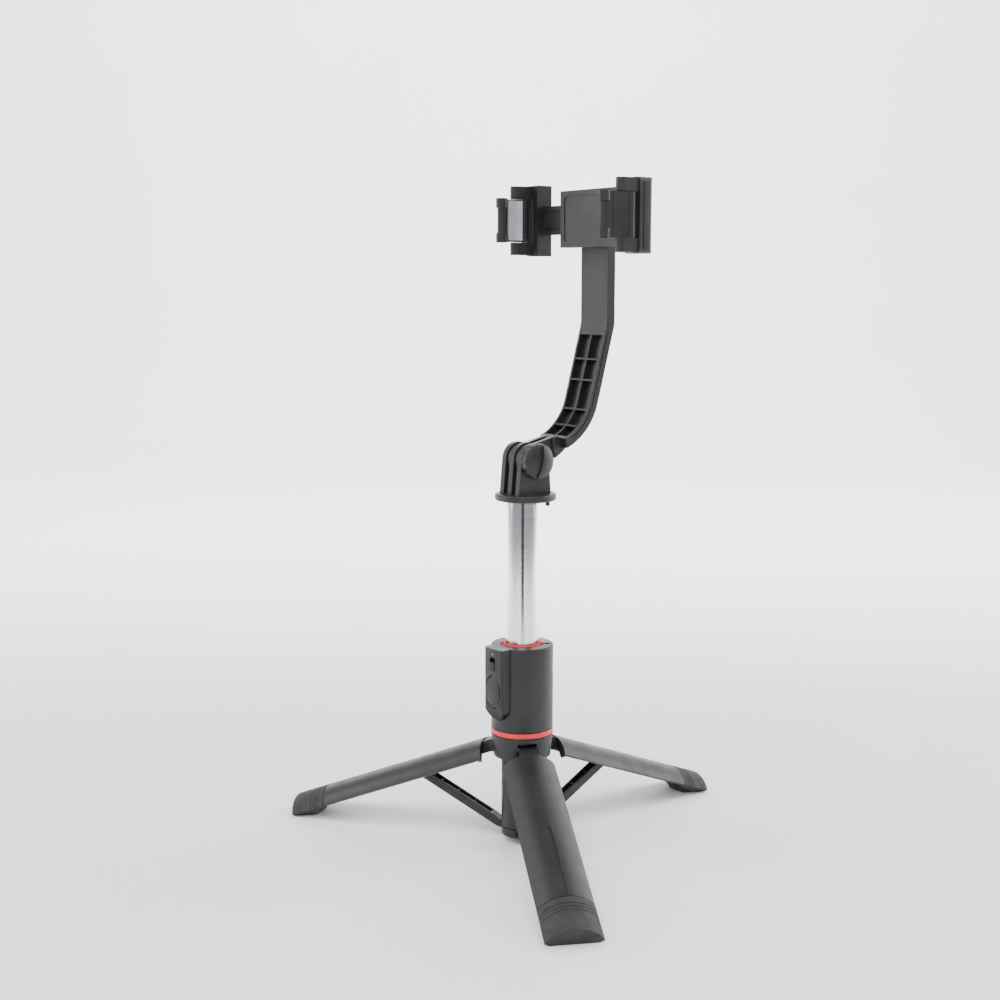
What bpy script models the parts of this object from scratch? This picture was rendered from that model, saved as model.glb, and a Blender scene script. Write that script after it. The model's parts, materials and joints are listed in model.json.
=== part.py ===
"""Tripod selfie stick: hub with remote, three folding legs, telescopic pole, hinge fork and phone clamp.

Lengths below are in millimetres and MM turns them into metres. +Z is up, the floor is z = 0 and the
phone's screen faces -Y. Every piece is laid out about the pole's axis, which AXIS_X and AXIS_Y then place
so that the whole object's box is centred on the origin.
"""

from math import atan2, cos, degrees, pi, radians, sin, sqrt

import bmesh
import bpy
from mathutils import Matrix, Vector

MM = 0.001
GAP = 0.3

AXIS_X = -3.4
AXIS_Y = -22.4

# Hub and pole
BASE_YAW = 4.0
HUB_RADIUS = 15.0
HUB_WALL = 1.6
HUB_TOP = 98.9
HUB_BOTTOM = 57.9
TOP_PLATE = 1.75
BORE_RADIUS = 8.05
BUSHING_RADIUS = 9.0
SKIRT_BOTTOM = 43.5
SKIRT_RADIUS = 13.9
SPIGOT_RADIUS = 13.2
ARCH_FOOT = 11.4
ARCH_CROWN = 4.8
ARCH_TOP = 50.9
BAND_BOTTOM = 55.15
BAND_TOP = 57.6
CORE_TOP = 90.0
NOTCH_AZIMUTH = 230.0
PEG_RADIUS = 12.0
PEG_AZIMUTH = 139.7

# Legs: the pivot's radius and height, the fold angle, and the shell's length below the pivot
PIVOT_RADIUS = 12.0
PIVOT_HEIGHT = 49.1
OPEN_ANGLE = 68.2
LEG_START = 7.0
LEG_END = 118.4
LEG_WALL = 1.7
LEG_HALF_ARC = 59.0
PAD_START = 99.5
WEDGE_START = 109.0
TONGUE = 7.0
LUG_HALF_WIDTH = 4.2
EAR = 1.4
HINGE_PIN_RADIUS = 0.9
HINGE_PIN_HALF = 5.6

# Struts: upper pivot on the leg (folded radius and distance), lower pivot on the column
STRUT_TOP_RADIUS = 10.95
STRUT_TOP_DROP = 47.99
STRUT_FOOT_RADIUS = 8.3
STRUT_FOOT_HEIGHT = 6.0
STRUT_HALF_WIDTH = 2.6
STRUT_OUTER = 1.9
STRUT_INNER = 2.5
STRUT_PIN_RADIUS = 0.7

# Column and telescopic tubes
COLUMN_RADIUS = 10.0
COLUMN_BOTTOM = 3.2
COLUMN_TOP = 47.8
COLUMN_SEAM = 7.6
SLOT_FLOOR = 4.4
SLOT_DEPTH_RADIUS = 5.2
SLOT_HALF_WIDTH = 3.3
LOWER_PIN_RADIUS = 0.6
TUBE_RADIUS = 7.23
TUBE_STEP = 0.72
TUBE_WALL = 0.42
TUBE_COUNT = 6
TUBE_TOP = 168.5
TUBE_BOTTOM = 42.0

# Head: flange, three fingers and hinge
FLANGE_BOTTOM = 168.8
FLANGE_TOP = 172.0
FLANGE_RADIUS = 14.7
FLANGE_SHIFT = 1.8
HINGE_Y = 1.8
HINGE_Z = 188.0
FINGER = 3.1
FINGER_PITCH = 6.2
FINGER_RADIUS = 8.2
FOOT_FRONT = -8.0
FOOT_BACK = 11.0
KNOB_RADIUS = 8.55
KNOB_IN = 8.1
KNOB_OUT = 14.6
KNOB_TILT = -11.5
BOLT_RADIUS = 2.0

# Arm: an arc about (ARC_Y, ARC_Z), then a straight lean back to an upright end
ARM_HALF_WIDTH = 10.0
ARC_Y = 7.8
ARC_Z = 222.0
ARC_INNER = 26.2
ARM_THICK = 4.7
ARM_LEAN = 15.0
ARM_FACE_Y = 42.9
ARM_FRONT_FOOT = -67.0
ARM_BACK_FOOT = -69.0
ARM_WALL = 1.4
POCKET_FOOT = 4.5
POCKET_TOP = 31.0
EYE_RADIUS = 7.4
CLAMP_Z = 301.5
DISC_RADIUS = 11.0

# Phone clamp
BODY_FRONT = 34.4
BODY_BACK = 42.5
BODY_HALF_HEIGHT = 13.5
BLOCK_HALF_HEIGHT = 17.2
BLOCK_OUT = 43.5
BLOCK_IN = 33.5
BLOCK_FRONT = 33.6
EAR_FRONT = 22.6
HOUSING_LEFT = -16.0
COVER_SCREWS = ((-12.0, 8.6), (26.5, -8.6))
SPRING_Y = 38.6
SPRING_Z = 9.3
COIL_RADIUS = 1.3
WIRE_RADIUS = 0.28
JAW_PIN_X = 40.3
JAW_PIN_Y = 30.0
JAW_PIN_RADIUS = 0.9
JAW_HALF_HEIGHT = 10.3
JAW_TIP_Y = 16.0
JAW_TIP_X = 39.2
PHONE_HALF_WIDTH = 37.0

# Remote
REMOTE_HALF_WIDTH = 6.8
REMOTE_FRONT = 18.8
REMOTE_BACK = 10.6
REMOTE_SPLIT = 13.2
REMOTE_TURN_Z = 70.2
BUTTON_Z = 77.6
SWITCH_Z = 91.4

LEG_AZIMUTHS = (60.0, 180.0, -60.0)
AXLE = (pi / 2, 0.0, 0.0)
BACKWARD = (-pi / 2, 0.0, 0.0)
CROSS_X = (0.0, pi / 2, 0.0)

COLOURS = {
    "black_plastic": ((0.035, 0.037, 0.041), 0.48, 0.0),
    "soft_rubber": ((0.028, 0.029, 0.031), 0.75, 0.0),
    "red_plastic": ((0.62, 0.045, 0.05), 0.38, 0.0),
    "polished_steel": ((0.82, 0.83, 0.85), 0.12, 1.0),
    "plated_steel": ((0.6, 0.6, 0.62), 0.3, 1.0),
    "circuit_board": ((0.02, 0.16, 0.07), 0.5, 0.0),
    "grey_pad": ((0.3, 0.31, 0.33), 0.7, 0.0),
}


# --- scene, collections and materials ---------------------------------------------------------------


def clear_scene():
    for obj in list(bpy.data.objects):
        bpy.data.objects.remove(obj, do_unlink=True)


def new_collection(name, hidden=False):
    group = bpy.data.collections.new(name)
    bpy.context.scene.collection.children.link(group)
    group.hide_render = hidden
    return group


def make_material(name):
    colour, roughness, metallic = COLOURS[name]
    material = bpy.data.materials.new(name)
    material.use_nodes = True
    shader = material.node_tree.nodes["Principled BSDF"]
    shader.inputs["Base Color"].default_value = (*colour, 1.0)
    shader.inputs["Roughness"].default_value = roughness
    shader.inputs["Metallic"].default_value = metallic
    return material


clear_scene()
PARTS = new_collection("selfie_stick")
CUTTERS = new_collection("cutters", hidden=True)
MATERIALS = {name: make_material(name) for name in COLOURS}


# --- outlines ---------------------------------------------------------------------------------------


def arc(cx, cy, radius, start, end, steps):
    """Points on a circle from the start angle to the end angle, in degrees."""
    angles = [radians(start + (end - start) * i / steps) for i in range(steps + 1)]
    return [(cx + radius * cos(a), cy + radius * sin(a)) for a in angles]


def rectangle(x0, x1, y0, y1):
    return [(x0, y0), (x1, y0), (x1, y1), (x0, y1)]


def rounded(x0, x1, y0, y1, radius, steps=4):
    """A rectangle with round corners."""
    corners = ((x1, y1, -1, -1, 0), (x0, y1, 1, -1, 90), (x0, y0, 1, 1, 180), (x1, y0, -1, 1, 270))
    outline = []
    for x, y, sx, sy, start in corners:
        outline += arc(x + sx * radius, y + sy * radius, radius, start, start + 90, steps)
    return outline


def sector(inner, outer, half_angle, steps, cx=0.0):
    """A piece of a ring about +X, with its centre at (cx, 0)."""
    outline = arc(cx, 0.0, outer, -half_angle, half_angle, steps)
    return outline + arc(cx, 0.0, inner, half_angle, -half_angle, steps)


# --- solids -----------------------------------------------------------------------------------------


def place(obj, parent, location=(0, 0, 0), rotation=(0, 0, 0)):
    obj.parent = parent
    obj.location = Vector(location) * MM
    obj.rotation_euler = rotation
    return obj


def new_frame(name, parent=None, location=(0, 0, 0), rotation=(0, 0, 0)):
    """An empty that carries the pieces of one moving body, at its joint's axis."""
    return place(link(name, None, PARTS), parent, location, rotation)


def link(name, mesh, group):
    obj = bpy.data.objects.new(name, mesh)
    group.objects.link(obj)
    return obj


def finish_part(obj, name, material, parent, location=(0, 0, 0), rotation=(0, 0, 0)):
    """Names a finished solid, gives it its material and shades it."""
    obj.name = name
    obj.data.name = name
    obj.data.materials.clear()
    obj.data.materials.append(MATERIALS[material])
    obj.data.shade_smooth()
    obj.data.set_sharp_from_angle(angle=radians(35))
    CUTTERS.objects.unlink(obj)
    PARTS.objects.link(obj)
    return place(obj, parent, location, rotation)


def to_mesh(obj):
    """The object's evaluated shape as a new welded mesh, in place of the object."""
    graph = bpy.context.evaluated_depsgraph_get()
    mesh = bpy.data.meshes.new_from_object(obj.evaluated_get(graph))
    shape = bmesh.new()
    shape.from_mesh(mesh)
    shape.transform(obj.matrix_basis)
    bmesh.ops.remove_doubles(shape, verts=shape.verts, dist=1e-6)
    shape.to_mesh(mesh)
    shape.free()
    bpy.data.objects.remove(obj, do_unlink=True)
    return link("shape", mesh, CUTTERS)


def extruded(outline, low, high, rotation=(0, 0, 0), location=(0, 0, 0)):
    """A flat outline with thickness, from low to high along its own Z."""
    curve = bpy.data.curves.new("outline", "CURVE")
    curve.dimensions = "2D"
    curve.fill_mode = "BOTH"
    curve.extrude = (high - low) / 2 * MM
    spline = curve.splines.new("POLY")
    spline.points.add(len(outline) - 1)
    for point, (x, y) in zip(spline.points, outline):
        point.co = (x * MM, y * MM, 0.0, 1.0)
    spline.use_cyclic_u = True
    solid = to_mesh(link("outline", curve, CUTTERS))
    solid.data.transform(Matrix.Translation((0.0, 0.0, (low + high) / 2 * MM)))
    return moved(solid, rotation, location)


def moved(solid, rotation=(0, 0, 0), location=(0, 0, 0)):
    """The solid turned and shifted in its mesh, so that its object stays at the origin."""
    solid.rotation_euler = rotation
    solid.location = Vector(location) * MM
    solid.data.transform(solid.matrix_basis)
    solid.rotation_euler = (0, 0, 0)
    solid.location = (0, 0, 0)
    return solid


def turned(profile, steps=48, rotation=(0, 0, 0), location=(0, 0, 0), closed=True):
    """A profile of (radius, height) points turned about Z, its outer side listed from the top down."""
    mesh = bpy.data.meshes.new("profile")
    points = [(r * MM, 0.0, z * MM) for r, z in profile]
    count = len(points)
    edges = [(i, i + 1) for i in range(count - 1)] + ([(count - 1, 0)] if closed else [])
    mesh.from_pydata(points, edges, [])
    obj = link("profile", mesh, CUTTERS)
    screw = obj.modifiers.new("turn", "SCREW")
    screw.steps = screw.render_steps = steps
    screw.use_merge_vertices = True
    screw.merge_threshold = 1e-6
    return moved(to_mesh(obj), rotation, location)


def rod(radius, low, high, steps=20, rotation=(0, 0, 0), location=(0, 0, 0)):
    """A solid cylinder along its own Z."""
    profile = [(0, high), (radius, high), (radius, low), (0, low)]
    return turned(profile, steps, rotation, location, closed=False)


def ring(outer, inner, low, high, steps=48):
    return turned([(outer, high), (outer, low), (inner, low), (inner, high)], steps)


def block(x, y, z, rotation=(0, 0, 0), location=(0, 0, 0)):
    """A box between the two values given for each axis."""
    return extruded(rectangle(*x, *y), *z, rotation=rotation, location=location)


def combine(body, tools, operation):
    """The body after an exact Boolean with each tool in turn."""
    for tool in tools:
        boolean = body.modifiers.new("boolean", "BOOLEAN")
        boolean.operation = operation
        boolean.object = tool
        body = to_mesh(body)
        bpy.data.objects.remove(tool, do_unlink=True)
    return body


def cut(body, *tools):
    return combine(body, tools, "DIFFERENCE")


def join(body, *tools):
    return combine(body, tools, "UNION")


def around(radius, azimuth):
    """A place at a radius and an azimuth, measured from -Y towards +X."""
    return radius * sin(radians(azimuth)), -radius * cos(radians(azimuth))


def facing(azimuth):
    """A turn about Z that carries +X to an azimuth."""
    return (0.0, 0.0, radians(azimuth - 90.0))


# --- hub --------------------------------------------------------------------------------------------


def tombstone(half_width, turn_z, top):
    """The remote's front outline, as (x, z) with a round bottom."""
    return arc(0.0, turn_z, half_width, 180, 360, 14) + [(half_width, top), (-half_width, top)]


def remote_pocket(margin):
    outline = tombstone(REMOTE_HALF_WIDTH + margin, REMOTE_TURN_Z, HUB_TOP + 2)
    return extruded(outline, REMOTE_BACK - margin, 25.0, rotation=AXLE)


def make_hub_shell(parent):
    plate = HUB_TOP - TOP_PLATE
    inner = HUB_RADIUS - HUB_WALL
    hole = BUSHING_RADIUS + GAP
    edge = 0.5
    profile = [(HUB_RADIUS - edge, HUB_TOP), (HUB_RADIUS, HUB_TOP - edge), (HUB_RADIUS, HUB_BOTTOM)]
    profile += [(inner, HUB_BOTTOM), (inner, plate), (hole, plate), (hole, HUB_TOP)]
    peg_x, peg_y = around(PEG_RADIUS, PEG_AZIMUTH - BASE_YAW)
    peg_hole = rod(1.5, plate - 2, HUB_TOP + 2, location=(peg_x, peg_y, 0))
    notch = block((8.0, 17.0), (-8.2, 8.2), (HUB_TOP - 1.2, HUB_TOP + 3), rotation=facing(NOTCH_AZIMUTH))
    shell = cut(turned(profile, 44), remote_pocket(GAP), peg_hole, notch)
    return finish_part(shell, "hub_shell", "black_plastic", parent)


def make_hub_core(parent):
    outer = HUB_RADIUS - HUB_WALL - GAP
    core = ring(outer, BORE_RADIUS, BAND_TOP + 0.6, CORE_TOP, 36)
    return finish_part(cut(core, remote_pocket(GAP)), "hub_core", "black_plastic", parent)


def make_leg_carrier(parent):
    step = BAND_BOTTOM - GAP
    profile = [(SPIGOT_RADIUS, BAND_TOP), (SPIGOT_RADIUS, step), (HUB_RADIUS, step)]
    profile += [(SKIRT_RADIUS, SKIRT_BOTTOM), (COLUMN_RADIUS + 0.9, SKIRT_BOTTOM)]
    profile += [(COLUMN_RADIUS + 0.9, COLUMN_TOP + 2.4), (BORE_RADIUS, COLUMN_TOP + 3.4)]
    profile += [(BORE_RADIUS, BAND_TOP)]
    carrier = turned(profile, 44)
    cutters = []
    below = SKIRT_BOTTOM - 3.5
    arch = [(-ARCH_FOOT, below), (-ARCH_FOOT, SKIRT_BOTTOM), (-ARCH_CROWN, ARCH_TOP)]
    arch += [(x * -1.0, z) for x, z in reversed(arch)]
    width = LUG_HALF_WIDTH + 0.4
    height = (below, ARCH_TOP + 1.7)
    for azimuth in LEG_AZIMUTHS:
        cutters.append(block((9.0, 20.0), (-width, width), height, rotation=facing(azimuth)))
        opening = extruded(arch, 13.5, 20.0, rotation=AXLE)
        cutters.append(moved(opening, rotation=(0, 0, radians(azimuth))))
        x, y = around(PIVOT_RADIUS, azimuth)
        reach = HINGE_PIN_HALF + GAP
        axle = rod(HINGE_PIN_RADIUS + GAP, -reach, reach, 12, rotation=AXLE)
        moved(axle, rotation=facing(azimuth))
        cutters.append(moved(axle, location=(x, y, PIVOT_HEIGHT)))
    return finish_part(cut(carrier, *cutters), "leg_carrier", "black_plastic", parent)


def make_hub_trim(parent):
    band = ring(HUB_RADIUS + 0.12, SPIGOT_RADIUS + GAP, BAND_BOTTOM, BAND_TOP, 44)
    finish_part(band, "red_band", "red_plastic", parent)
    top = HUB_TOP + 0.55
    foot = CORE_TOP + GAP
    profile = [(BUSHING_RADIUS - 0.4, top), (BUSHING_RADIUS, top - 0.4), (BUSHING_RADIUS, foot)]
    profile += [(BORE_RADIUS, foot), (BORE_RADIUS, top - 0.5), (BORE_RADIUS + 0.5, top)]
    ears = [
        rod(1.3, HUB_TOP + GAP, HUB_TOP + 1.2, 12, location=(*around(BUSHING_RADIUS + 0.5, azimuth), 0))
        for azimuth in (PEG_AZIMUTH - BASE_YAW, PEG_AZIMUTH - BASE_YAW - 180.0)
    ]
    finish_part(join(turned(profile, 36), *ears), "top_bushing", "red_plastic", parent)


def make_hinge_pins(parent):
    for number, azimuth in enumerate(LEG_AZIMUTHS, start=1):
        pin = rod(HINGE_PIN_RADIUS, -HINGE_PIN_HALF, HINGE_PIN_HALF, 14, rotation=AXLE)
        moved(pin, rotation=facing(azimuth))
        moved(pin, location=(*around(PIVOT_RADIUS, azimuth), PIVOT_HEIGHT))
        finish_part(pin, f"leg_{number}_hinge_pin", "plated_steel", parent)


# --- remote -----------------------------------------------------------------------------------------


def oval(half_width, half_height, z):
    """An upright oval outline as (x, z)."""
    return [(half_width * cos(2 * pi * i / 28), z + half_height * sin(2 * pi * i / 28)) for i in range(28)]


def remote_layer(inset, back, front, top=HUB_TOP):
    """A slab in the remote's outline, drawn in by an inset, between two distances in front of the axis."""
    return extruded(tombstone(REMOTE_HALF_WIDTH - inset, REMOTE_TURN_Z, top), back, front, rotation=AXLE)


def make_remote(remote, button, switch):
    top_view = rounded(-REMOTE_HALF_WIDTH, REMOTE_HALF_WIDTH, -REMOTE_FRONT, -REMOTE_SPLIT + 4, 2.2, 6)
    front = remote_layer(0.0, REMOTE_SPLIT, REMOTE_FRONT + 1)
    envelope = extruded(top_view, 60.0, HUB_TOP + 1)
    front = combine(front, [envelope], "INTERSECT")
    chin = block((-10, 10), (-8, 0), (-12, 0), rotation=(radians(-32), 0, 0), location=(0, -15.4, 63.2))
    inside = remote_layer(1.4, REMOTE_SPLIT - 1, 17.4, HUB_TOP - 1.5)
    window = extruded(oval(5.2, 8.2, BUTTON_Z), 15, 22, rotation=AXLE)
    slot = extruded(rounded(-2.0, 2.0, SWITCH_Z - 3.2, SWITCH_Z + 3.2, 0.8), 15, 22, rotation=AXLE)
    front = cut(front, chin, inside, window, slot)
    finish_part(front, "remote_front_shell", "black_plastic", remote)

    back = remote_layer(0.0, REMOTE_BACK, REMOTE_SPLIT - GAP)
    tray = remote_layer(1.2, REMOTE_BACK + 0.9, REMOTE_SPLIT, HUB_TOP - 1.2)
    finish_part(cut(back, tray), "remote_back_shell", "black_plastic", remote)

    cell = rod(5.0, 11.8, 13.6, 32, rotation=AXLE, location=(0, 0, 73.0))
    finish_part(cell, "remote_coin_cell", "plated_steel", remote)
    board = remote_layer(1.8, 14.0, 14.9, HUB_TOP - 2.75)
    finish_part(board, "remote_circuit_board", "circuit_board", remote)
    dome = rod(1.9, 15.2, 16.0, 20, rotation=AXLE, location=(0, 0, BUTTON_Z))
    finish_part(dome, "remote_tact_switch", "plated_steel", remote)

    crown = extruded(oval(4.9, 7.9, BUTTON_Z), 17.0, REMOTE_FRONT + 0.35, rotation=AXLE)
    finish_part(crown, "shutter_button", "black_plastic", button)
    slider = extruded(rounded(-1.7, 1.7, SWITCH_Z - 2.9, SWITCH_Z + 0.9, 0.6), 15.4, 19.3, rotation=AXLE)
    finish_part(slider, "power_switch", "black_plastic", switch)


# --- legs and struts --------------------------------------------------------------------------------

STRUT_TOP_X = STRUT_TOP_RADIUS - PIVOT_RADIUS
OPEN = radians(OPEN_ANGLE)
STRUT_TOP_OPEN_R = PIVOT_RADIUS + STRUT_TOP_X * cos(OPEN) + STRUT_TOP_DROP * sin(OPEN)
STRUT_TOP_OPEN_Z = PIVOT_HEIGHT + STRUT_TOP_X * sin(OPEN) - STRUT_TOP_DROP * cos(OPEN)
STRUT_RUN = STRUT_TOP_OPEN_R - STRUT_FOOT_RADIUS
STRUT_RISE = STRUT_TOP_OPEN_Z - STRUT_FOOT_HEIGHT
STRUT_LENGTH = sqrt(STRUT_RUN**2 + STRUT_RISE**2)
STRUT_LEAN = degrees(atan2(STRUT_RUN, STRUT_RISE))


def make_leg_shell(number, pivot):
    """One third of the handle's tube, folded straight down along -Z from its hinge at the origin."""
    outer = HUB_RADIUS
    inner = outer - LEG_WALL
    centre = -PIVOT_RADIUS
    shell = extruded(sector(inner, outer, LEG_HALF_ARC, 12, cx=centre), -PAD_START + GAP, -LEG_START)
    tongue_outline = sector(inner, outer - 0.7, LEG_HALF_ARC - 5, 8, cx=centre)
    tongue = extruded(tongue_outline, -PAD_START - TONGUE, -PAD_START + 1)
    web_outline = sector(outer - 4.6, inner + 0.4, LEG_HALF_ARC - 2, 12, cx=centre)
    web = extruded(web_outline, -LEG_START - 3.0, -LEG_START - 1.4)
    root = -LEG_START - 2.0
    side = arc(0, 0, 1.7, 0, 180, 10) + [(-3.6, -4.0), (-3.6, root), (2.3, root), (2.3, -2.8)]
    lug = extruded(side, -LUG_HALF_WIDTH, LUG_HALF_WIDTH, rotation=AXLE)
    shell = join(shell, tongue, web, lug)
    heights = (-STRUT_TOP_DROP - 2.4, -STRUT_TOP_DROP + 2.4)
    ears = [
        block((STRUT_TOP_X - 1.5, 1.9), (y, y + EAR), heights)
        for y in (STRUT_HALF_WIDTH + GAP, -STRUT_HALF_WIDTH - GAP - EAR)
    ]
    shell = join(shell, *ears)
    hinge_hole = rod(HINGE_PIN_RADIUS + GAP, -6, 6, 14, rotation=AXLE)
    strut_axis = (STRUT_TOP_X, 0, -STRUT_TOP_DROP)
    strut_hole = rod(STRUT_PIN_RADIUS + GAP, -6, 6, 12, rotation=AXLE, location=strut_axis)
    shell = cut(shell, hinge_hole, strut_hole)
    finish_part(shell, f"leg_{number}_shell", "black_plastic", pivot)
    pin = rod(STRUT_PIN_RADIUS, -4.1, 4.1, 12, rotation=AXLE, location=strut_axis)
    finish_part(pin, f"leg_{number}_strut_pin", "plated_steel", pivot)


def make_foot_pad(number, pivot):
    """A rubber end cap: a sleeve round the leg's end with a wedge that is cut flat by the floor."""
    centre = -PIVOT_RADIUS
    outer = HUB_RADIUS + 0.1
    sleeve = extruded(sector(11.0, outer, LEG_HALF_ARC, 12, cx=centre), -LEG_END, -PAD_START)
    wedge = extruded(sector(1.8, 11.6, LEG_HALF_ARC, 8, cx=centre), -LEG_END, -WEDGE_START)
    pad = join(sleeve, wedge)
    inner = HUB_RADIUS - LEG_WALL
    slot_outline = sector(inner - GAP, outer - 0.5, LEG_HALF_ARC - 3.5, 8, cx=centre)
    tongue_slot = extruded(slot_outline, -PAD_START - TONGUE - 0.4, -PAD_START + 1)
    # The floor seen from the leg: the plane z = 0 when the leg is open.
    below = block((60, 170), (-30, 30), (-40, 0))
    moved(below, location=(0, 0, -PIVOT_HEIGHT))
    moved(below, rotation=(0, OPEN, 0))
    pad = cut(pad, tongue_slot, below)
    finish_part(pad, f"leg_{number}_foot_pad", "soft_rubber", pivot)


def make_strut(number, pivot):
    """A channel open towards the hub, hanging along -Z from its upper pivot at the origin."""
    half = STRUT_HALF_WIDTH
    foot = -STRUT_LENGTH
    side = arc(0, 0, 1.7, 0, 180, 10) + [(-1.7, -1.2), (-STRUT_INNER, -3.6), (-STRUT_INNER, foot + 7.2)]
    side += arc(0, foot, 1.3, 180, 360, 10) + [(STRUT_OUTER, foot + 4.0), (STRUT_OUTER, -1.8)]
    strut = extruded(side, -half, half, rotation=AXLE)
    channel = block((-4, 0.7), (-half + 0.95, half - 0.95), (foot + 9.5, -5.2))
    hole = STRUT_PIN_RADIUS + GAP
    top_hole = rod(hole, -4, 4, 12, rotation=AXLE)
    foot_hole = rod(LOWER_PIN_RADIUS + 0.1, -4, 4, 12, rotation=AXLE, location=(0, 0, foot))
    strut = cut(strut, channel, top_hole, foot_hole)
    finish_part(strut, f"strut_{number}", "black_plastic", pivot)
    pin = rod(LOWER_PIN_RADIUS, -3.5, 3.5, 12, rotation=AXLE, location=(0, 0, foot))
    finish_part(pin, f"strut_{number}_lower_pin", "plated_steel", pivot)


# --- column and pole --------------------------------------------------------------------------------


def make_column(parent):
    """The sliding column: three staves round a core, a socket for the pole and slots for the struts."""
    core_profile = [(0, COLUMN_TOP), (COLUMN_RADIUS - 0.5, COLUMN_TOP), (COLUMN_RADIUS, COLUMN_TOP - 0.5)]
    core_profile += [(COLUMN_RADIUS, COLUMN_SEAM + GAP), (0, COLUMN_SEAM + GAP)]
    column = turned(core_profile, 36, closed=False)
    cap_profile = [(0, COLUMN_SEAM), (COLUMN_RADIUS, COLUMN_SEAM), (COLUMN_RADIUS, COLUMN_BOTTOM + 0.8)]
    cap_profile += [(COLUMN_RADIUS - 0.8, COLUMN_BOTTOM), (0, COLUMN_BOTTOM)]
    cap = turned(cap_profile, 36, closed=False)
    column = cut(column, rod(TUBE_RADIUS + GAP, TUBE_BOTTOM - GAP, COLUMN_TOP + 1, 32))
    depth = (SLOT_DEPTH_RADIUS, COLUMN_RADIUS + 2)
    width = (-SLOT_HALF_WIDTH, SLOT_HALF_WIDTH)
    # The pins shift a little outwards halfway through the fold, so their holes are wider than tall.
    hole = LOWER_PIN_RADIUS + GAP
    run = (STRUT_FOOT_RADIUS - hole, STRUT_FOOT_RADIUS + hole + 0.9)
    rise = (STRUT_FOOT_HEIGHT - hole, STRUT_FOOT_HEIGHT + hole)
    for azimuth in LEG_AZIMUTHS:
        turn = facing(azimuth)
        column = cut(column, block(depth, width, (SLOT_FLOOR, COLUMN_TOP + 1), rotation=turn))
        cap = cut(cap, block(depth, width, (SLOT_FLOOR, COLUMN_SEAM + 1), rotation=turn))
        cap = cut(cap, block(run, (-4.4, 4.4), rise, rotation=turn))
    finish_part(column, "column", "black_plastic", parent)
    finish_part(cap, "column_end_cap", "black_plastic", parent)


def tube_radius(number):
    return TUBE_RADIUS - TUBE_STEP * (number - 1)


def make_tube(number, parent):
    """One nested section, with a rounded lip at its top."""
    outer = tube_radius(number)
    inner = outer - TUBE_WALL
    bottom = TUBE_BOTTOM + 2.0 * (number - 1)
    steps = 36 if number == 1 else 20
    lip = 0.15
    profile = [(outer - lip, TUBE_TOP), (outer, TUBE_TOP - lip), (outer, bottom)]
    profile += [(inner, bottom), (inner, TUBE_TOP)]
    finish_part(turned(profile, steps), f"pole_tube_{number}", "polished_steel", parent)


# --- head -------------------------------------------------------------------------------------------


def side_plate(outline, low, high):
    """A solid whose outline is given as (y, z) and whose thickness runs along X."""
    return moved(extruded(outline, low, high, rotation=(pi / 2, 0, 0)), rotation=(0, 0, pi / 2))


def make_head(parent):
    edge = 0.6
    profile = [(0, FLANGE_TOP), (FLANGE_RADIUS - edge, FLANGE_TOP), (FLANGE_RADIUS, FLANGE_TOP - edge)]
    profile += [(FLANGE_RADIUS, FLANGE_BOTTOM + edge), (FLANGE_RADIUS - edge, FLANGE_BOTTOM)]
    profile += [(0, FLANGE_BOTTOM)]
    flange = turned(profile, 40, location=(0, FLANGE_SHIFT, 0), closed=False)
    base = FLANGE_TOP - 1.0
    finger_side = arc(HINGE_Y, HINGE_Z, FINGER_RADIUS, 0, 180, 12) + [(FOOT_FRONT, base), (FOOT_BACK, base)]
    fingers = [
        side_plate(finger_side, middle - FINGER / 2, middle + FINGER / 2)
        for middle in (-FINGER_PITCH, 0.0, FINGER_PITCH)
    ]
    peg_x, peg_y = around(PEG_RADIUS, PEG_AZIMUTH)
    peg_profile = [(0, FLANGE_BOTTOM + 1), (1.1, FLANGE_BOTTOM + 1), (1.1, 166.5), (0.7, 166.0), (0, 166.0)]
    peg = turned(peg_profile, 16, location=(peg_x, peg_y, 0), closed=False)
    head = join(flange, *fingers, peg)
    bore = rod(BOLT_RADIUS + GAP, -12, 12, 20, rotation=CROSS_X, location=(0, HINGE_Y, HINGE_Z))
    head = cut(head, bore, rod(2.2, 165, FLANGE_BOTTOM + 1.6, 20))
    finish_part(head, "head_base", "black_plastic", parent)
    stem = rod(1.9, 151.0, FLANGE_BOTTOM + 1.3, 16)
    collar = rod(2.85, 150.0, TUBE_TOP - 1.5, 20)
    finish_part(join(collar, stem), "head_stem", "plated_steel", parent)
    bolt_hole = BOLT_RADIUS + GAP
    boss = [(0, 3.2), (3.4, 3.0), (5.0, 2.0), (5.6, 0.0), (bolt_hole, 0.0), (bolt_hole, 2.0), (0, 2.0)]
    left = -(FINGER_PITCH + FINGER / 2 + GAP)
    nut = turned(boss, 20, rotation=(0, -pi / 2, 0), location=(left, HINGE_Y, HINGE_Z), closed=False)
    finish_part(nut, "hinge_nut", "black_plastic", parent)


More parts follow.
